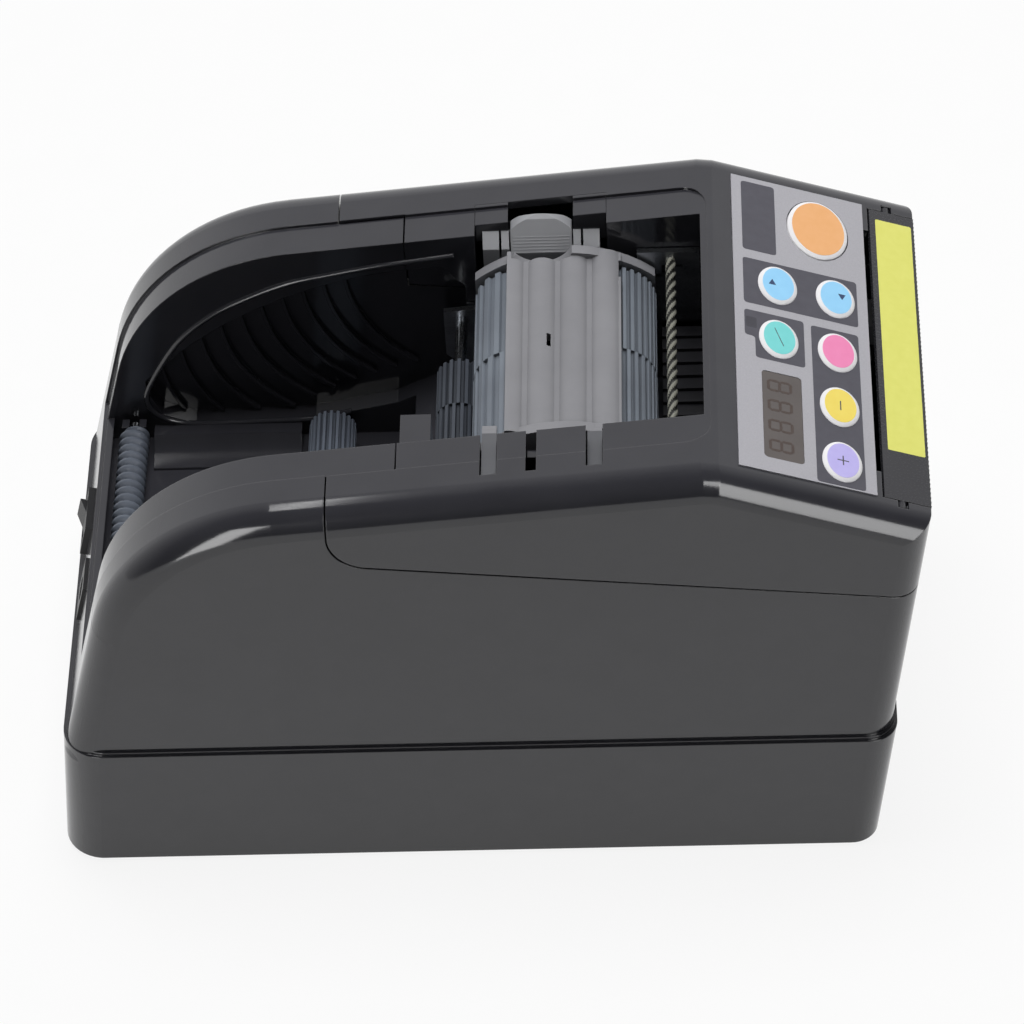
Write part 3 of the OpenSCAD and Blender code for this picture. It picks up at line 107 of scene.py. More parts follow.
def surface(name, low, high, rough, grain=0.4, depth=0.004, metal=0.0, rounding=0.0,
            stretch=(1, 1, 1), sheen=0.06, ior=1.5, drift=14.0, crevice=0.0, shade=0.35):
    """A procedural material.

    Colours drift between low and high over drift mm, and roughness by sheen over grain mm.
    Grain stands depth mm tall. A groove within crevice mm keeps the share shade of the colour, as painted
    shade.
    """
    made = bpy.data.materials.new(name)
    made.use_nodes = True
    tree = made.node_tree
    tree.nodes.clear()
    place = add(tree, "ShaderNodeTexCoord").outputs["Object"]
    place = add(tree, "ShaderNodeMapping", {"Vector": place, "Scale": stretch}).outputs["Vector"]
    cloud = add(tree, "ShaderNodeTexNoise", {"Vector": place, "Scale": 1 / (drift * MM), "Detail": 4.0})
    fine = add(tree, "ShaderNodeTexNoise", {"Vector": place, "Scale": 1 / (grain * MM), "Detail": 2.0})
    tint = add(tree, "ShaderNodeValToRGB", {"Fac": cloud.outputs["Fac"]},
               ((SOFT_START, linear(low)), (SOFT_END, linear(high)))).outputs["Color"]
    # Painted shade: the colour darkens in a groove, the more closed in the place is.
    if crevice:
        near = add(tree, "ShaderNodeAmbientOcclusion", {"Distance": crevice * MM}, samples=8)
        kept = add(tree, "ShaderNodeValToRGB", {"Fac": near.outputs["AO"]},
                   ((OPEN_START, grey(shade)), (OPEN_END, grey(1.0)))).outputs["Color"]
        mixed = add(tree, "ShaderNodeVectorMath", {0: tint, 1: kept}, operation="MULTIPLY")
        tint = mixed.outputs["Vector"]
    gloss = add(tree, "ShaderNodeValToRGB", {"Fac": fine.outputs["Fac"]},
                ((SOFT_START, grey(rough - sheen)), (SOFT_END, grey(rough + sheen)))).outputs["Color"]
    bump = add(tree, "ShaderNodeBump", {
        "Height": fine.outputs["Fac"], "Distance": depth * MM, "Strength": 1.0})
    if rounding:
        edge = add(tree, "ShaderNodeBevel", {"Radius": rounding * MM}, samples=4)
        tree.links.new(edge.outputs["Normal"], bump.inputs["Normal"])
    shader = add(tree, "ShaderNodeBsdfPrincipled", {
        "Base Color": tint, "Roughness": gloss, "Metallic": metal, "IOR": ior,
        "Normal": bump.outputs["Normal"]})
    add(tree, "ShaderNodeOutputMaterial", {"Surface": shader.outputs["BSDF"]})
    return made


MATERIALS = {}
print("colour drift ramp:", SOFT_START, "to", SOFT_END)

# %% [markdown]
# The housing is injection-moulded ABS in charcoal, and the base beneath it a blacker
# grade. The lift-out unit and the latch are lighter grey mouldings, and the hidden gears,
# guides and carriers are the usual engineering plastics. Names say what the real stuff is
# and how it was made, so a later scene can reuse them.

# %% Moulded plastics
# Glossy and dark: it mirrors the room with soft edges, and its corners draw thin lights.
MATERIALS["housing_charcoal"] = surface(
    "abs_charcoal_satin_moulded", "#333338", "#37373c", 0.12, 0.5, 0.0006,
    rounding=0.4, sheen=0.02, ior=1.57)
# Dull and blacker, so that the underside recedes.
MATERIALS["base_black"] = surface(
    "abs_black_matt_moulded", "#222225", "#28282b", 0.5, 0.4, 0.01, rounding=0.3)
# Satin beside the glossy cover, so that the guard reads as a piece of its own.
MATERIALS["guard_charcoal"] = surface(
    "abs_charcoal_guard_moulded", "#313135", "#353539", 0.26, 0.5, 0.002, rounding=0.25, sheen=0.03)
# Mid grey, with painted shade in its flutes, which gives the shield its columns.
MATERIALS["unit_grey"] = surface(
    "polystyrene_grey_moulded", "#7f7f83", "#87878b", 0.42, 0.5, 0.004,
    rounding=0.25, crevice=3.0, shade=0.55)
# Darker than the unit that it belongs to: painted shade for where the tabs lie in their slots.
MATERIALS["tab_grey"] = surface(
    "polystyrene_grey_painted_shade", "#56575b", "#5e5f63", 0.4, 0.5, 0.004, rounding=0.2)
# Pale grey, with painted shade in the lines between the grip ridges.
MATERIALS["latch_grey"] = surface(
    "abs_grey_latch_moulded", "#97989c", "#9fa0a4", 0.38, 0.5, 0.004, rounding=0.25, crevice=0.8)
# Black with a faint sparkle of glass fibre.
MATERIALS["part_black"] = surface("nylon_black_glass_filled", "#1d1d1f", "#262628", 0.45, 0.35, 0.01)
# Slippery black, a little shinier.
MATERIALS["guide_plastic"] = surface("acetal_black_guide_moulded", "#202023", "#28282b", 0.35, 0.4)
# Milky white, as unfilled gears are.
MATERIALS["gear_nylon"] = surface("acetal_white_gear_moulded", "#dcdcd6", "#e4e4de", 0.45, 0.4)
print("plastics:", len(MATERIALS))

# %% [markdown]
# Rubber is dull, and painted shade darkens its grooves, so its ribs show as pale crests over
# dark grooves. The rollers of the unit are ground blue-grey rubber. Those of the bay are
# darker, and the one at the mouth of the feed is darker still, as painted shade.

# %% Rubbers
# Dead black, with a pressed grain.
MATERIALS["foot_rubber"] = surface("rubber_black_pressed", "#19191b", "#212123", 0.75, 0.5, 0.02)
# Blue-grey crests over grooves darkened by painted shade.
MATERIALS["roller_rubber"] = surface(
    "rubber_blue_grey_ground", "#6f757e", "#787f88", 0.6, 0.25, 0.012, rounding=0.2, crevice=1.2, shade=0.45)
# Slate, with a little shine left from the mould, and painted shade in its grooves.
MATERIALS["bay_rubber"] = surface(
    "rubber_slate_moulded", "#5d636e", "#666d78", 0.42, 0.25, 0.01, rounding=0.2, crevice=1.0, shade=0.4)
# The same slate, rougher, and darker all over as painted shade, with painted shade in its grooves too.
MATERIALS["worn_rubber"] = surface(
    "rubber_slate_painted_shade", "#41454d", "#494e56", 0.6, 0.25, 0.012, rounding=0.2, crevice=1.2, shade=0.4)
print("with rubbers:", len(MATERIALS))

# %% [markdown]
# Metal is told by the direction of its scratches. Stretching the noise along one axis is
# the simplest way to get turned shafts, rolled sheet and ground blades from the same
# function. The twisted rod is coated, so it is no mirror, and its grooves carry painted shade.

# %% Metals
# Bright and a little soft, as thin zinc is.
MATERIALS["screw_steel"] = surface("steel_zinc_plated_screw", "#b9bcc0", "#cfd1d4", 0.3, 0.2, metal=1.0)
# Fine rings round the shaft.
MATERIALS["shaft_steel"] = surface(
    "steel_ground_shaft", "#9ea1a5", "#b3b6ba", 0.25, 0.3, 0.002, metal=1.0, stretch=(6, 0.4, 6))
# Long scratches along the sheet.
MATERIALS["plate_steel"] = surface(
    "steel_sheet_rolled", "#8f9296", "#a2a5a9", 0.32, 0.3, 0.003, metal=1.0, stretch=(0.2, 1, 3))
# Grey can with a soft shine.
MATERIALS["motor_steel"] = surface("steel_drawn_motor_can", "#8a8d90", "#9a9da0", 0.35, 0.5, metal=1.0)
# Brightest of the steels, ground across the edge.
MATERIALS["blade_steel"] = surface(
    "steel_hardened_blade_ground", "#b4b7ba", "#c6c9cc", 0.2, 0.2, 0.002, metal=1.0, stretch=(1, 8, 0.5))
# Dull olive on the crests of the twist.
MATERIALS["rod_coated"] = surface("steel_rod_olive_coated", "#7d7d74", "#88887e", 0.4, 0.25, 0.006)
# Near black between the crests: painted shade in the grooves.
MATERIALS["groove_dark"] = surface("steel_rod_groove_painted_shade", "#1d1d1b", "#232321", 0.35, 0.25)
# Dull gold with a sintered grain.
MATERIALS["bush_brass"] = surface("brass_sintered_bush", "#a78a4e", "#b89a5c", 0.4, 0.2, 0.006, metal=1.0)
# Brighter gold where the teeth were cut.
MATERIALS["pinion_brass"] = surface("brass_hobbed_pinion", "#b89653", "#c8a763", 0.3, 0.2, 0.003, metal=1.0)
print("with metals:", len(MATERIALS))

# %% [markdown]
# The panel is a printed film with a smoked window, and silicone keys that come up through
# it. The film's silver is a print of fine flakes, drawn here at 0.35 mm, coarser than the
# real ones, so that it still shows. All keys are moulded in the same white and told apart by
# the ink on top, so a loop makes them and another makes the inks.

# %% Film, window, keys and inks
# Silver with a fine sparkle.
MATERIALS["overlay_silver"] = surface(
    "polycarbonate_film_silver_printed", "#a3a2a8", "#acabb1", 0.42, 0.12, 0.002, drift=0.35)
# Brown smoke with a clear mirror on top.
MATERIALS["window_smoke"] = surface(
    "acrylic_smoked_window_polished", "#57514f", "#5d5755", 0.08, 0.6, 0.0005, sheen=0.02, drift=9)
# Dark filler round the segments.
MATERIALS["display_dark"] = surface("epoxy_filled_segment_display", "#1d1b19", "#24211f", 0.45)
# Green mask over cloth.
MATERIALS["board_green"] = surface(
    "fibreglass_board_green_masked", "#1d4a30", "#245a3a", 0.45, 0.3, 0.01, drift=3)
# Soft white with no shine to speak of.
for key in ("orange", "blue", "teal", "pink", "yellow", "lilac"):
    MATERIALS["key_" + key] = surface(
        "silicone_key_white_moulded_" + key, "#e6e5e7", "#ecebed", 0.5, 0.3, 0.003)
# Flat, even colour, as a screen lays it down.
INK_COLOURS = {
    "orange": ("#eaac70", "#edb178"), "blue": ("#92cef4", "#97d2f7"), "teal": ("#74d2d0", "#7bd6d5"),
    "pink": ("#ec84b4", "#ef8ab9"), "yellow": ("#eed65f", "#f0da67"), "lilac": ("#b9b0e9", "#beb6ed"),
    "plate_dark": ("#4a4952", "#4f4e57"), "pilot_dark": ("#3b3a42", "#404048"),
    "mark_dark": ("#2c3f63", "#31456b"), "mark_grey": ("#4a4a50", "#525258"),
    "strip_yellow": ("#dcdc6c", "#e0e073"), "segment_brown": ("#473b36", "#4b3f3a")}
INKS = {name: surface("ink_" + name + "_screen_printed", low, high, 0.42, 0.15, 0.002, drift=2.5)
        for name, (low, high) in INK_COLOURS.items()}
print("materials:", len(MATERIALS) + len(INKS))

# %% [markdown]
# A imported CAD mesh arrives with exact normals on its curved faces, so most nodes only need
# their finish. Most new pieces are a row of rings joined by strips of faces and closed at
# both ends, so one helper makes that skin.

# %% Finish the CAD nodes
def finish_with(obj, material):
    """Puts one material on obj, in place of all of its slots."""
    obj.data.materials.clear()
    obj.data.materials.append(material)


def skin(bm, rings):
    """Joins rings of equally many points with strips of faces, and closes both ends."""
    rows = [[bm.verts.new(point) for point in ring] for ring in rings]
    for low, high in zip(rows, rows[1:]):
        for k in range(len(low)):
            j = (k + 1) % len(low)
            bm.faces.new((low[k], low[j], high[j], high[k]))
    bm.faces.new(rows[0][::-1])
    bm.faces.new(rows[-1])


def piece(name, bm, material, body, node=None, crease=None):
    """Turns a bmesh into an object that rides on body and may stand in for a CAD node."""
    bmesh.ops.recalc_face_normals(bm, faces=bm.faces)
    mesh = bpy.data.meshes.new(name)
    bm.to_mesh(mesh)
    bm.free()
    if crease:
        mesh.shade_smooth()
        mesh.set_sharp_from_angle(angle=math.radians(crease))
    made = bpy.data.objects.new(name, mesh)
    scene.collection.objects.link(made)
    finish_with(made, material)
    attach(made, body)
    if node:
        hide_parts(node)
    return made


for cad in nodes.values():
    slot = cad.data.materials[0].name
    finish_with(cad, MATERIALS[slot])
# The roller at the mouth of the feed is painted darker, as shade.
finish_with(nodes["entry_roller"], MATERIALS["worn_rubber"])
print("finished:", len(nodes))

# %% [markdown]
# The sloping panel carries all the printing. A local frame makes it easy to draw on: s
# runs down the slope from the ridge, y across the machine and h out of the surface, all in
# millimetres. Flat artwork is then a list of corners, rounded, and pressed out a few
# hundredths of a millimetre so that it sits on the film as a printed layer does.

# %% Drawing on the panel
RIDGE_X, RIDGE_Z = 58.25, 134.8
FALL = math.radians(19.65)
RIDGE = Vector((RIDGE_X, 0, RIDGE_Z)) * MM
DOWN = Vector((math.cos(FALL), 0, -math.sin(FALL)))
OUT = Vector((math.sin(FALL), 0, math.cos(FALL)))


def on_panel(s, y, h):
    """The point s, y, h of the panel, in metres of the frame."""
    return RIDGE + (DOWN * s + Vector((0, y, 0)) + OUT * h) * MM


def rounded(corners, radius, steps=5):
    """The polygon with each corner turned into a curve that starts radius away from it."""
    points = []
    for i, corner in enumerate(corners):
        here = Vector(corner)
        before = Vector(corners[i - 1]) - here
        after = Vector(corners[(i + 1) % len(corners)]) - here
        reach = min(radius, before.length / 2, after.length / 2)
        start = here + before.normalized() * reach
        end = here + after.normalized() * reach
        for k in range(steps + 1):
            t = k / steps
            points.append(start * (1 - t) ** 2 + here * 2 * t * (1 - t) + end * t ** 2)
    return points


def oblong(s0, s1, y0, y1, radius=1.0):
    """A rectangle with rounded corners."""
    return rounded([(s0, y0), (s1, y0), (s1, y1), (s0, y1)], radius)


def oval(s, y, a, b, steps=56):
    """An ellipse with half lengths a along s and b along y."""
    turns = [2 * math.pi * k / steps for k in range(steps)]
    return [Vector((s + a * math.cos(turn), y + b * math.sin(turn))) for turn in turns]


def printed(name, outlines, low, high, ink, body="housing"):
    """A thin printed layer between heights low and high, from outlines of (s, y) points."""
    bm = bmesh.new()
    for outline in outlines:
        skin(bm, [[on_panel(s, y, h) for s, y in outline] for h in (low, high)])
    return piece(name, bm, ink, body)


print("panel corner:", [round(v / MM, 2) for v in on_panel(0, 0, 0)])

# %% [markdown]
# The film groups the keys on dark plates: a bare plate at the far end, one behind the two
# feed keys, one behind the mode key with a small lobe for a pilot lamp, and a long one behind
# the setting keys. A print could be a texture, but a thin raised outline stays sharp at
# any distance.

# %% Printed plates
FILM = 0.4
PRINT = 0.02
END_PLATE = oblong(10.0, 19.0, 25.1, 50.5)
FEED_PLATE = oblong(9.9, 40.3, 5.6, 22.0)
SETTING_PLATE = oblong(27.5, 40.1, -51.8, 2.6)
MODE_PLATE = rounded([
    (9.9, -6.05), (12.6, -6.05), (12.6, -13.4), (25.6, -13.4), (25.6, 3.1), (9.9, 3.1)], 1.0)
PILOT = oblong(10.3, 13.1, -3.1, 0.6, 0.4)
plates = [END_PLATE, FEED_PLATE, SETTING_PLATE, MODE_PLATE]
printed("panel_plates", plates, FILM - PRINT, FILM + PRINT, INKS["plate_dark"])
printed("pilot_window", [PILOT], FILM, FILM + 1.5 * PRINT, INKS["pilot_dark"])
print("plates:", len(plates))

# %% [markdown]
# Each key is a white oval moulding with a coloured disc printed on its top, so a white rim
# shows round the colour. Its body is lofted from rings: a flange under the panel, a straight
# side, then a soft shoulder up to the flat top, which a bevelled cylinder wouldn't give on an
# oval.

# %% The body of a key
# Each key's place (s, y), half length along s, and ink.
SMALL_KEY = 5.2
KEYS = {"start": (30.4, 38, 8.1, "orange"),
        "reverse": (19.0, 14, SMALL_KEY, "blue"), "forward": (34.4, 14, SMALL_KEY, "blue"),
        "mode": (18.8, -5.4, SMALL_KEY, "teal"), "select": (34.3, -5.4, SMALL_KEY, "pink"),
        "minus": (34.2, -24.6, SMALL_KEY, "yellow"), "plus": (34.2, -43.6, SMALL_KEY, "lilac")}
OVAL, TOP = 1.3, 1.1
# How far each ring stands out from the key's side, and its height.
FLANGE = ((0.8, -3.6), (0.8, -2.8), (0, -2.8))
SHOULDER = ((0, 0.5), (-0.06, 0.6), (-0.3, 0.74), (-0.6, 0.91), (-0.85, 1.03), (-1.1, TOP))


def lofted_key(node, s, y, r, material, body):
    """A key body: one oval ring per step of its flange and shoulder."""
    bm = bmesh.new()
    skin(bm, [[on_panel(q[0], q[1], h) for q in oval(s, y, r + grow, r * OVAL + grow)]
              for grow, h in FLANGE + SHOULDER])
    return piece(node + "_look", bm, material, body, node, crease=50)


print("rings of a key:", len(FLANGE + SHOULDER))

# %% [markdown]
# The discs and signs ride on the keys and go down with them. The signs are plain: triangles
# for the two feed directions, a slash on the mode key, a minus and a plus. Each is drawn
# round the middle of its key.

# %% Keys, discs and signs
RIM = 1.05
STROKE = 0.32
ARM, GAP = 1.5, 0.16
CROSSBAR = 1.6


def bar(s0, y0, s1, y1, thick=STROKE):
    """A thin straight stroke from one point to another."""
    a, b = Vector((s0, y0)), Vector((s1, y1))
    side = (b - a).normalized().orthogonal() * thick / 2
    return [a - side, b - side, b + side, a + side]


def triangle(s, base, apex):
    """A triangle 2 mm wide round s, with its base and apex at these places along y."""
    return [Vector((s - 1.0, base)), Vector((s + 1.0, base)), Vector((s, apex))]


SIGNS = {"reverse": [triangle(-1.6, -0.6, 1.4)], "forward": [triangle(1.6, 1.6, -0.4)],
         "mode": [bar(-1.2, 3.2, 1.0, -2.7, 0.22)], "minus": [bar(0, -CROSSBAR, 0, CROSSBAR)],
         "plus": [bar(0, -CROSSBAR, 0, CROSSBAR), bar(-ARM, 0, -GAP, 0), bar(GAP, 0, ARM, 0)]}
for key, (s, y, r, ink) in KEYS.items():
    slot = "key_" + ink
    lofted_key(key + "_key", s, y, r, MATERIALS[slot], key)
    printed(key + "_disc", [oval(s, y, r - RIM, r * OVAL - RIM)], TOP - PRINT, TOP + 1.5 * PRINT,
            INKS[ink], key)
    if key in SIGNS:
        outlines = [[Vector((s, y)) + q for q in outline] for outline in SIGNS[key]]
        colour = INKS["mark_dark" if ink == "blue" else "mark_grey"]
        printed(key + "_sign", outlines, TOP + PRINT, TOP + 2.5 * PRINT, colour, key)
print("keys:", len(KEYS), "signs:", len(SIGNS))

# %% [markdown]
# The display is a smoked window over four seven-segment digits. With the machine
# off, the unlit segments only just show, a little browner than the window. They are drawn
# from one segment outline, turned and moved seven times for each digit.

# %% Display digits
DIGITS, DIGIT_PITCH = 4, 6.9
DIGIT_S, DIGIT_Y = 18.6, -32.4
DIGIT_HALF, DIGIT_WIDE = 2.9, 3.3
SEGMENT, SEGMENT_GAP = 0.75, 0.2
GLASS = 0.29


def segment(s, y, length, upright):
    """One segment with pointed ends; upright ones run along s."""
    a, b = length / 2, SEGMENT / 2
    shape = [(-a, 0), (-a + b, -b), (a - b, -b), (a, 0), (a - b, b), (-a + b, b)]
    return [Vector((s + (p if upright else q), y + (q if upright else p))) for p, q in shape]


segments = []
for k in range(DIGITS):
    y = DIGIT_Y + DIGIT_PITCH * ((DIGITS - 1) / 2 - k)
    for row in (-1, 0, 1):
        segments.append(segment(DIGIT_S + row * DIGIT_HALF, y, DIGIT_WIDE, False))
    for row in (-0.5, 0.5):
        for col in (-0.5, 0.5):
            segments.append(segment(DIGIT_S + row * DIGIT_HALF, y + col * DIGIT_WIDE,
                                    DIGIT_HALF - SEGMENT_GAP, True))
printed("display_segments", segments, GLASS, GLASS + 1.5 * PRINT, INKS["segment_brown"])
print("segments:", len(segments))

# %% [markdown]
# The film's opening over the window has round corners. The construction cuts it square, so
# four small pieces of film fill the corners, each a square with a quarter circle taken out.

# %% Round corners of the window
WINDOW_S, WINDOW_Y = (14.0, 24.4), (-47.4, -17.4)
CORNER, LAP, ARC_STEPS = 1.1, 0.1, 8
CORNER_SINK, CORNER_LIFT = 0.05, 0.01


def corner_fill(s, y, inward_s, inward_y):
    """The corner at (s, y), with the way into the window given as 1 or -1 along s and y."""
    turns = [math.pi / 2 * i / ARC_STEPS for i in range(ARC_STEPS + 1)]
    arc = [(CORNER - CORNER * math.sin(turn), CORNER - CORNER * math.cos(turn)) for turn in turns]
    outline = [(-LAP, -LAP), (CORNER, -LAP)] + arc + [(-LAP, CORNER)]
    return [Vector((s + inward_s * p, y + inward_y * q)) for p, q in outline]


corners = [corner_fill(s, y, inward_s, inward_y)
           for s, inward_s in zip(WINDOW_S, (1, -1)) for y, inward_y in zip(WINDOW_Y, (1, -1))]
printed("display_corners", corners, FILM - CORNER_SINK, FILM + CORNER_LIFT, MATERIALS["overlay_silver"])
print("corners:", len(corners))

# %% [markdown]
# A plain yellow strip runs along the guard, bright against the charcoal. It is a thin label,
# so it is drawn as the panel's printing is, but it rides on the guard and tips up with it.

# %% The yellow strip
STRIP = oblong(46.6, 56.4, -35.0, 48.2, 0.5)
STRIP_LOW, STRIP_HIGH = -0.01, 0.03
printed("guard_strip", [STRIP], STRIP_LOW, STRIP_HIGH, INKS["strip_yellow"], "guard")
print("strip points:", len(STRIP))

# %% [markdown]
# The rod in front of the unit is twisted like a drill, so that tape can't stick to it. It is
# made of rings of points along its axis, pushed out and in by three lobes that wind from
# ring to ring. A second material, painted shade, darkens the faces down in the grooves and
# keeps the twist readable from afar, where shading alone would blur.

# %% The twisted rod
END_SHARE, ROOT_SHARE = 0.6, 0.66
# A power below 1 keeps a crest broad and its groove narrow.
ROD_CREST, ROLLER_CREST = 0.6, 0.7


def ring_across(centre, y, radii):
    """Points round an axis along y at centre (x, z), with one radius for each; mm to metres."""
    turns = [2 * math.pi * k / len(radii) for k in range(len(radii))]
    return [Vector((centre[0] + r * math.cos(turn), y, centre[1] + r * math.sin(turn))) * MM
            for r, turn in zip(radii, turns)]


def twisted_rod(node, centre, radius, half, reach, lobes, turns, around=36, per_turn=18):
    """A rod twisted from -half to half, with thinner ends that go on to reach."""
    rings = int(turns * per_turn)
    wind = math.pi * turns / half
    places = [-half + 2 * half * i / rings for i in range(rings + 1)]

    def lobe(turn, y):
        """How far out the surface is at this step round the rod, from -1 to 1."""
        return math.cos(lobes * (2 * math.pi * turn / around + wind * y))

    thin = [radius * END_SHARE] * around
    rows = [ring_across(centre, -reach, thin)]
    for y in places:
        waves = [0.5 + 0.5 * lobe(k, y) for k in range(around)]
        rows.append(ring_across(centre, y, [
            radius * (ROOT_SHARE + (1 - ROOT_SHARE) * wave ** ROD_CREST) for wave in waves]))
    rows.append(ring_across(centre, reach, thin))
    bm = bmesh.new()
    skin(bm, rows)
    made = piece(node + "_twisted", bm, MATERIALS["rod_coated"], body_of_node[node], node,
                 crease=50)
    # A second material, painted shade, for the faces down in the grooves.
    made.data.materials.append(MATERIALS["groove_dark"])
    marks = [-reach] + places + [reach]
    dark = [int(lobe(k + 0.5, (low + high) / 2) < 0)
            for low, high in zip(marks, marks[1:]) for k in range(around)]
    # The two end caps come last and keep the coat.
    made.data.polygons.foreach_set("material_index", dark + [0, 0])
    return made


rod = twisted_rod("spiral_rod", (49.4, 120.4), radius=1.35, half=33.1, reach=36.0, lobes=3, turns=6.2)
print("rod faces:", len(rod.data.polygons))

# %% [markdown]
# The rear roller is cut with a helical ridge that keeps the tape centred. The
# thread belongs to the look, not to the construction, so it is made here, as the rod is:
# rings of points, each pushed out and in by a wave that advances once per turn.

# %% The ridged rear roller
def ridged_roller(node, centre, radius, half, pitch, height, around=40, per_turn=10):
    """A roller whose ridge, height mm tall, winds once round it in every pitch."""
    rings = int(2 * half / pitch * per_turn)
    rows = []
    for i in range(rings + 1):
        y = -half + 2 * half * i / rings
        waves = [0.5 + 0.5 * math.cos(2 * math.pi * (y / pitch - k / around)) for k in range(around)]
        rows.append(ring_across(centre, y, [radius - height * (1 - wave ** ROLLER_CREST) for wave in waves]))
    bm = bmesh.new()
    skin(bm, rows)
    return piece(node + "_ridged", bm, MATERIALS["bay_rubber"], body_of_node[node], node,
                 crease=60)


thread = ridged_roller("rear_roller", (-93.5, 63.7), radius=4.0, half=31.2, pitch=2.6, height=1.0)
print("rear roller faces:", len(thread.data.polygons))

# %% [markdown]
# A rounded bead runs along the upper and rear rim of each hollow in the bay walls, and catches
# a thin line of light. It is swept: a round section follows a smooth curve through a few
# points on the wall, half of it sunk in the wall. A bevel on the hollow's edge would have to
# cross the ribs, and fail there.

# %% Bead of the bay hollows
WALL_Y, BEAD = 36.0, 0.8
# Places (x, z) on the wall, from the front of the upper rim round the rear to the floor.
HOLLOW_RIM = (
    (-6, 121.6), (-14.8, 120.2), (-25.7, 118.5), (-38.2, 115.8), (-49.6, 113), (-60.8, 108), (-70.4, 102.2),
    (-79, 93.9), (-85.8, 82.8), (-89.6, 74), (-88.9, 68.6), (-86.2, 65.6), (-82, 63.7), (-75, 62.9),
    (-60, 63.3), (-45.6, 63.9), (-36, 66.2))
# The near wall has no upper rim in front of this place, above this height.
NEAR_X, NEAR_Z = -20, 100


def curve_through(points, steps=6):
    """A smooth curve that passes through all of the points."""
    points = [Vector(q) for q in points]
    ends = points[:1] + points + points[-1:]
    made = []
    for a, b, c, d in zip(ends, ends[1:], ends[2:], ends[3:]):
        bend, twist = 2 * a - 5 * b + 4 * c - d, 3 * b - a - 3 * c + d
        for t in (k / steps for k in range(steps)):
            made.append(0.5 * (2 * b + (c - a) * t + bend * t ** 2 + twist * t ** 3))
    return made + points[-1:]


def wall_bead(name, path, side, around=10):
    """A round bead along a path of (x, z) points on the wall at y = side * WALL_Y."""
    turns = [2 * math.pi * k / around for k in range(around)]
    rings = []
    for i, here in enumerate(path):
        along = (path[min(i + 1, len(path) - 1)] - path[max(i - 1, 0)]).normalized()
        across = Vector((-along.y, along.x)) * BEAD
        flat = [here + across * math.cos(turn) for turn in turns]
        rings.append([Vector((q.x, side * WALL_Y + BEAD * math.sin(turn), q.y)) * MM
                      for q, turn in zip(flat, turns)])
    bm = bmesh.new()
    skin(bm, rings)
    return piece(name, bm, MATERIALS["housing_charcoal"], "housing", crease=60)


rim = curve_through(HOLLOW_RIM)
wall_bead("hollow_bead_far", rim, 1)
wall_bead("hollow_bead_near", [q for q in rim if q.x < NEAR_X or q.y < NEAR_Z], -1)
print("bead points:", len(rim))

# %% [markdown]
# Beside the latch the sunk ledge of the wall closes over the two ears, so that only the pad
# comes through, and the ears reach up under it. Both are short prisms along the machine, and
# the ledge rises with the wall, so a prism's two end sections may differ.

# %% Ledge and ears beside the latch
RISE = math.tan(math.radians(5.65))
SUNK = 0.8
POCKET_Z = 122.8
LEDGE_Y, LEDGE_STEP, LEDGE_END = 39.9, 45.6, 46.55
LEDGE_SPANS = ((-0.4, 8.1), (24.8, 33.3))
EAR = ((36.6, 122.52), (39.85, 122.52), (39.85, 126.2), (39.5, 126.2))
EAR_SPANS = ((1.45, 5.65), (6.25, 8.2), (24.7, 26.65), (27.25, 31.45))


def prism(bm, x0, x1, first, last=None):
    """Adds a prism from x0 to x1 with the (y, z) points first at x0 and last at x1."""
    ends = ((x0, first), (x1, last or first))
    skin(bm, [[Vector((x, y, z)) * MM for y, z in section] for x, section in ends])


def wall_block(x, y0, y1, sunk):
    """The section at x of a block under the wall's top, which it stays sunk mm below."""
    top = RIDGE_Z - (RIDGE_X - x) * RISE - sunk
    return ((y0, POCKET_Z), (y1, POCKET_Z), (y1, top), (y0, top))


bm = bmesh.new()
for x0, x1 in LEDGE_SPANS:
    for y0, y1, sunk in ((LEDGE_Y, LEDGE_STEP, SUNK), (LEDGE_STEP, LEDGE_END, 0)):
        prism(bm, x0, x1, wall_block(x0, y0, y1, sunk), wall_block(x1, y0, y1, sunk))
piece("latch_ledge", bm, MATERIALS["housing_charcoal"], "housing")
bm = bmesh.new()
for x0, x1 in EAR_SPANS:
    prism(bm, x0, x1, EAR)
piece("latch_ears", bm, MATERIALS["latch_grey"], body_of_node["latch_block"])
print("ledge height:", round(wall_block(0, LEDGE_Y, LEDGE_STEP, SUNK)[2][1], 2))

# %% [markdown]
# Two more prisms finish the bay. The unit's tabs get covers in a darker grey, painted shade for
# where they lie in their slots, and a smooth shelf falls from each side rail to the bay floor,
# where the tape roll runs in. Its hollow curve is a few short facets that the smooth shading joins.

# %% Tab covers and bay shelf
TAB_XS, TAB_HALF = (4.25, 30.25), 1.86
TAB = ((-49.7, 122.94), (-33.25, 122.94), (-33.25, 126.26), (-49.7, 126.26))
SHELF_SPAN = (-88.5, -49.3)
SHELF = ((31.9, 63.1), (30.4, 61.5), (28.6, 60.2), (26.4, 59.3), (23.8, 58.8), (23.6, 57.9), (31.9, 57.9))
bm = bmesh.new()
for x in TAB_XS:
    prism(bm, x - TAB_HALF, x + TAB_HALF, TAB)
# The covers' darker grey is painted shade.
piece("unit_tabs", bm, MATERIALS["tab_grey"], body_of_node["roller_unit_frame"])
bm = bmesh.new()
for side in (1, -1):
    prism(bm, *SHELF_SPAN, [(side * y, z) for y, z in SHELF])
piece("bay_shelf", bm, MATERIALS["housing_charcoal"], "housing", crease=35)
print("shelf points:", len(SHELF))

# %% [markdown]
# The stage is a pale floor that reads as white to the camera, and in mirrors and glass, yet
# still takes the shadow. Light Path tells which rays look at it, and they get a share of
# plain white. So the background is white without any more light on the machine.

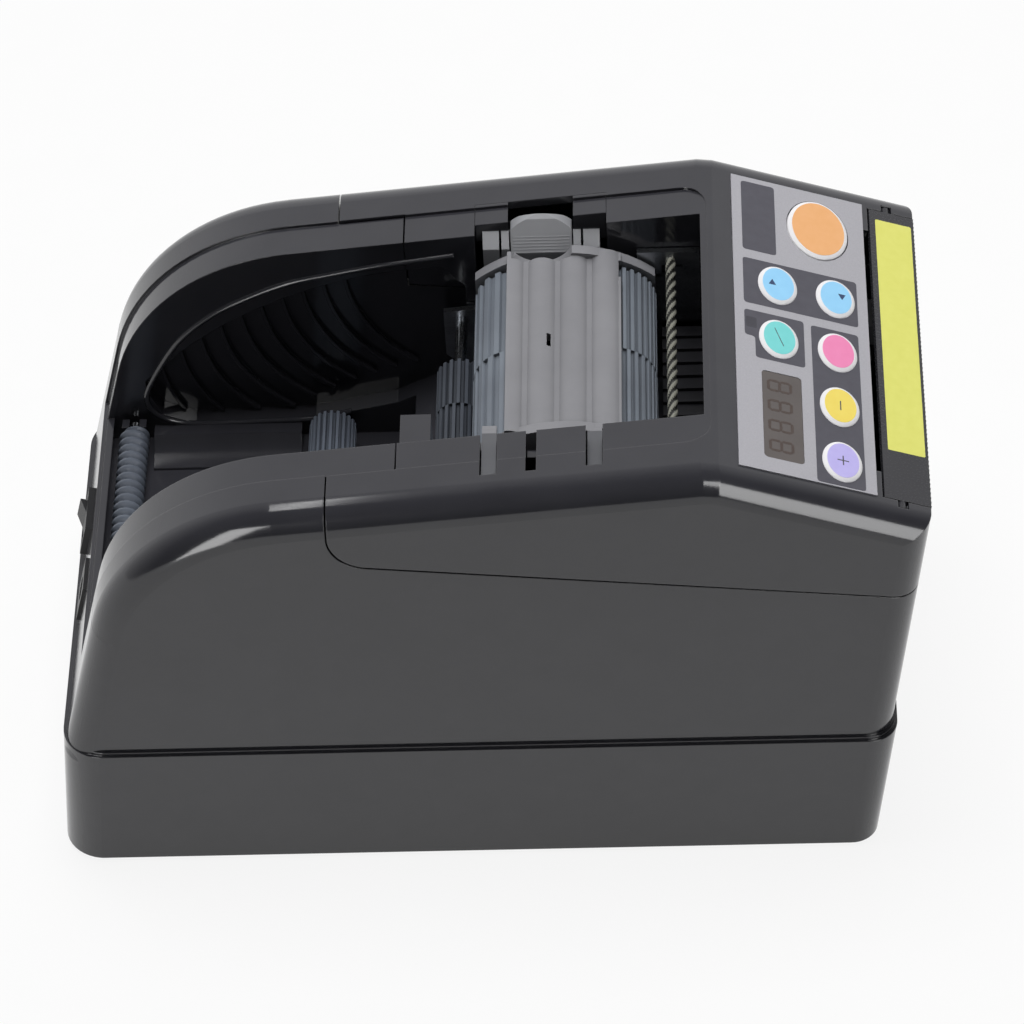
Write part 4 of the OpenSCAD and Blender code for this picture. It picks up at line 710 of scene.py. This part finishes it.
# %% Floor
FLOOR_HALF = 6
WHITE_SHARE = 0.88
MOTTLE = 40 / 3
floor_mesh = bpy.data.meshes.new("floor")
floor_mesh.from_pydata([(FLOOR_HALF * x, FLOOR_HALF * y, 0) for x, y in ((-1, -1), (1, -1), (1, 1), (-1, 1))],
                       [], [(0, 1, 2, 3)])
floor = bpy.data.objects.new("floor", floor_mesh)
scene.collection.objects.link(floor)
# Uncoated paper: a matt white with a faint mottle. Generated places run from 0 to 1 across it.
paper = bpy.data.materials.new("paper_white_sweep")
paper.use_nodes = True
tree = paper.node_tree
tree.nodes.clear()
seen = add(tree, "ShaderNodeLightPath").outputs
mottle = add(tree, "ShaderNodeTexNoise", {"Scale": 2 * FLOOR_HALF / (MOTTLE * MM)}).outputs["Fac"]
tone = add(tree, "ShaderNodeValToRGB", {"Fac": mottle},
           ((SOFT_START, linear("#f0f0f0")), (SOFT_END, linear("#f4f4f4")))).outputs["Color"]
matt = add(tree, "ShaderNodeBsdfDiffuse", {"Color": tone})
white = add(tree, "ShaderNodeEmission", {"Color": linear("#ffffff"), "Strength": 1.0})
looks = seen["Is Camera Ray"]
for other in ("Is Glossy Ray", "Is Transmission Ray"):
    looks = add(tree, "ShaderNodeMath", {0: looks, 1: seen[other]}, operation="MAXIMUM").outputs[0]
share = add(tree, "ShaderNodeMath", {0: looks, 1: WHITE_SHARE}, operation="MULTIPLY")
mixed = add(tree, "ShaderNodeMixShader", {0: share.outputs[0], 1: matt.outputs[0], 2: white.outputs[0]})
add(tree, "ShaderNodeOutputMaterial", {"Surface": mixed.outputs[0]})
floor_mesh.materials.append(paper)
print("floor:", 2 * FLOOR_HALF, "m wide")

# %% [markdown]
# The world is a dim room, palest low down at the back: the upright sides then mirror the
# white floor, the tops a pale grey, and the edge towards the camera a dark ceiling, which
# draws the form. One direction through the room and a ramp along it are enough for that.

# %% World
PALE_WAY = (0.0, 0.8, -0.6)
DARK_AT, PALE_AT = -0.5, 0.42
world = bpy.data.worlds.new("room")
scene.world = world
world.use_nodes = True
tree = world.node_tree
tree.nodes.clear()
towards = add(tree, "ShaderNodeTexCoord").outputs["Generated"]
along = add(tree, "ShaderNodeVectorMath", {0: towards, 1: PALE_WAY}, operation="DOT_PRODUCT")
depth = add(tree, "ShaderNodeMapRange", {
    "Value": along.outputs["Value"], "From Min": DARK_AT, "From Max": PALE_AT})
sky = add(tree, "ShaderNodeValToRGB", {"Fac": depth.outputs["Result"]},
          ((0.0, linear("#3a3a3a")), (1.0, linear("#f4f4f4")))).outputs["Color"]
room = add(tree, "ShaderNodeBackground", {"Color": sky, "Strength": 1.0})
add(tree, "ShaderNodeOutputWorld", {"Surface": room.outputs[0]})
print("world:", world.name)

# %% [markdown]
# One broad lamp straight overhead does the lighting; it is left out of mirrors,
# so that the tops stay calm. What glossy plastic mirrors is placed one by one, as a photographer
# sets cards: two tall boxes in front, left and right of the camera, give the long streaks on
# the panel's near edge and on the bay's shoulder, and two small ones give a glint each.

# %% Lamps
MIDDLE = (0.0, 0.0, 0.1)
PANEL_EDGE, BAY_SHOULDER, RIDGE_END = (0.08, -0.06, 0.12), (-0.05, -0.06, 0.12), (0.06, -0.058, 0.13)


def softbox(name, place, aim, size, power, card=True):
    """An area lamp; a card only shows in mirrors, any other lamp only lights."""
    lamp = bpy.data.lights.new(name, "AREA")
    lamp.shape = "RECTANGLE"
    lamp.size, lamp.size_y = size
    lamp.energy = power
    made = bpy.data.objects.new(name, lamp)
    made.location = place
    made.rotation_euler = (Vector(aim) - Vector(place)).to_track_quat("-Z", "Y").to_euler()
    made.visible_diffuse, made.visible_glossy = not card, card
    scene.collection.objects.link(made)


softbox("overhead", (0.0, 0.1, 1.15), MIDDLE, (0.5, 0.5), 9.8, card=False)
softbox("card_right", (0.60, -1.03, 0.72), PANEL_EDGE, (0.55, 1.35), 13.5)
softbox("card_left", (-0.60, -1.08, 0.46), BAY_SHOULDER, (0.34, 0.90), 6.5)
softbox("glint_left", (-0.177, 0.1, 0.63), (-0.177, 0.1, 0.1), (0.024, 0.27), 0.15)
softbox("glint_ridge", (0.30, -0.63, 0.63), RIDGE_END, (0.16, 0.12), 0.4)

# %% [markdown]
# The camera stands where the photograph was taken from: above the near long side, far
# off with a long lens, so the machine is drawn almost without perspective. Its three axes
# are given outright, because it leans a little to one side.

# %% Camera
LENS, SENSOR = 176.87, 36
EYE = Vector((58.71, -904.94, 1002.67)) * MM
RIGHT = Vector((0.99893, 0.01092, -0.04482))
UP = Vector((0.02322, 0.72048, 0.69310))
AHEAD = Vector((-0.03986, 0.69339, -0.71946))
camera = bpy.data.cameras.new("camera")
camera.lens, camera.sensor_width = LENS, SENSOR
eye = bpy.data.objects.new("camera", camera)
eye.matrix_world = Matrix.Translation(EYE) @ Matrix((RIGHT, UP, -AHEAD)).transposed().to_4x4()
scene.collection.objects.link(eye)
scene.camera = eye
scene.view_settings.view_transform = "Standard"
print("camera at", [round(v, 3) for v in eye.matrix_world.translation])
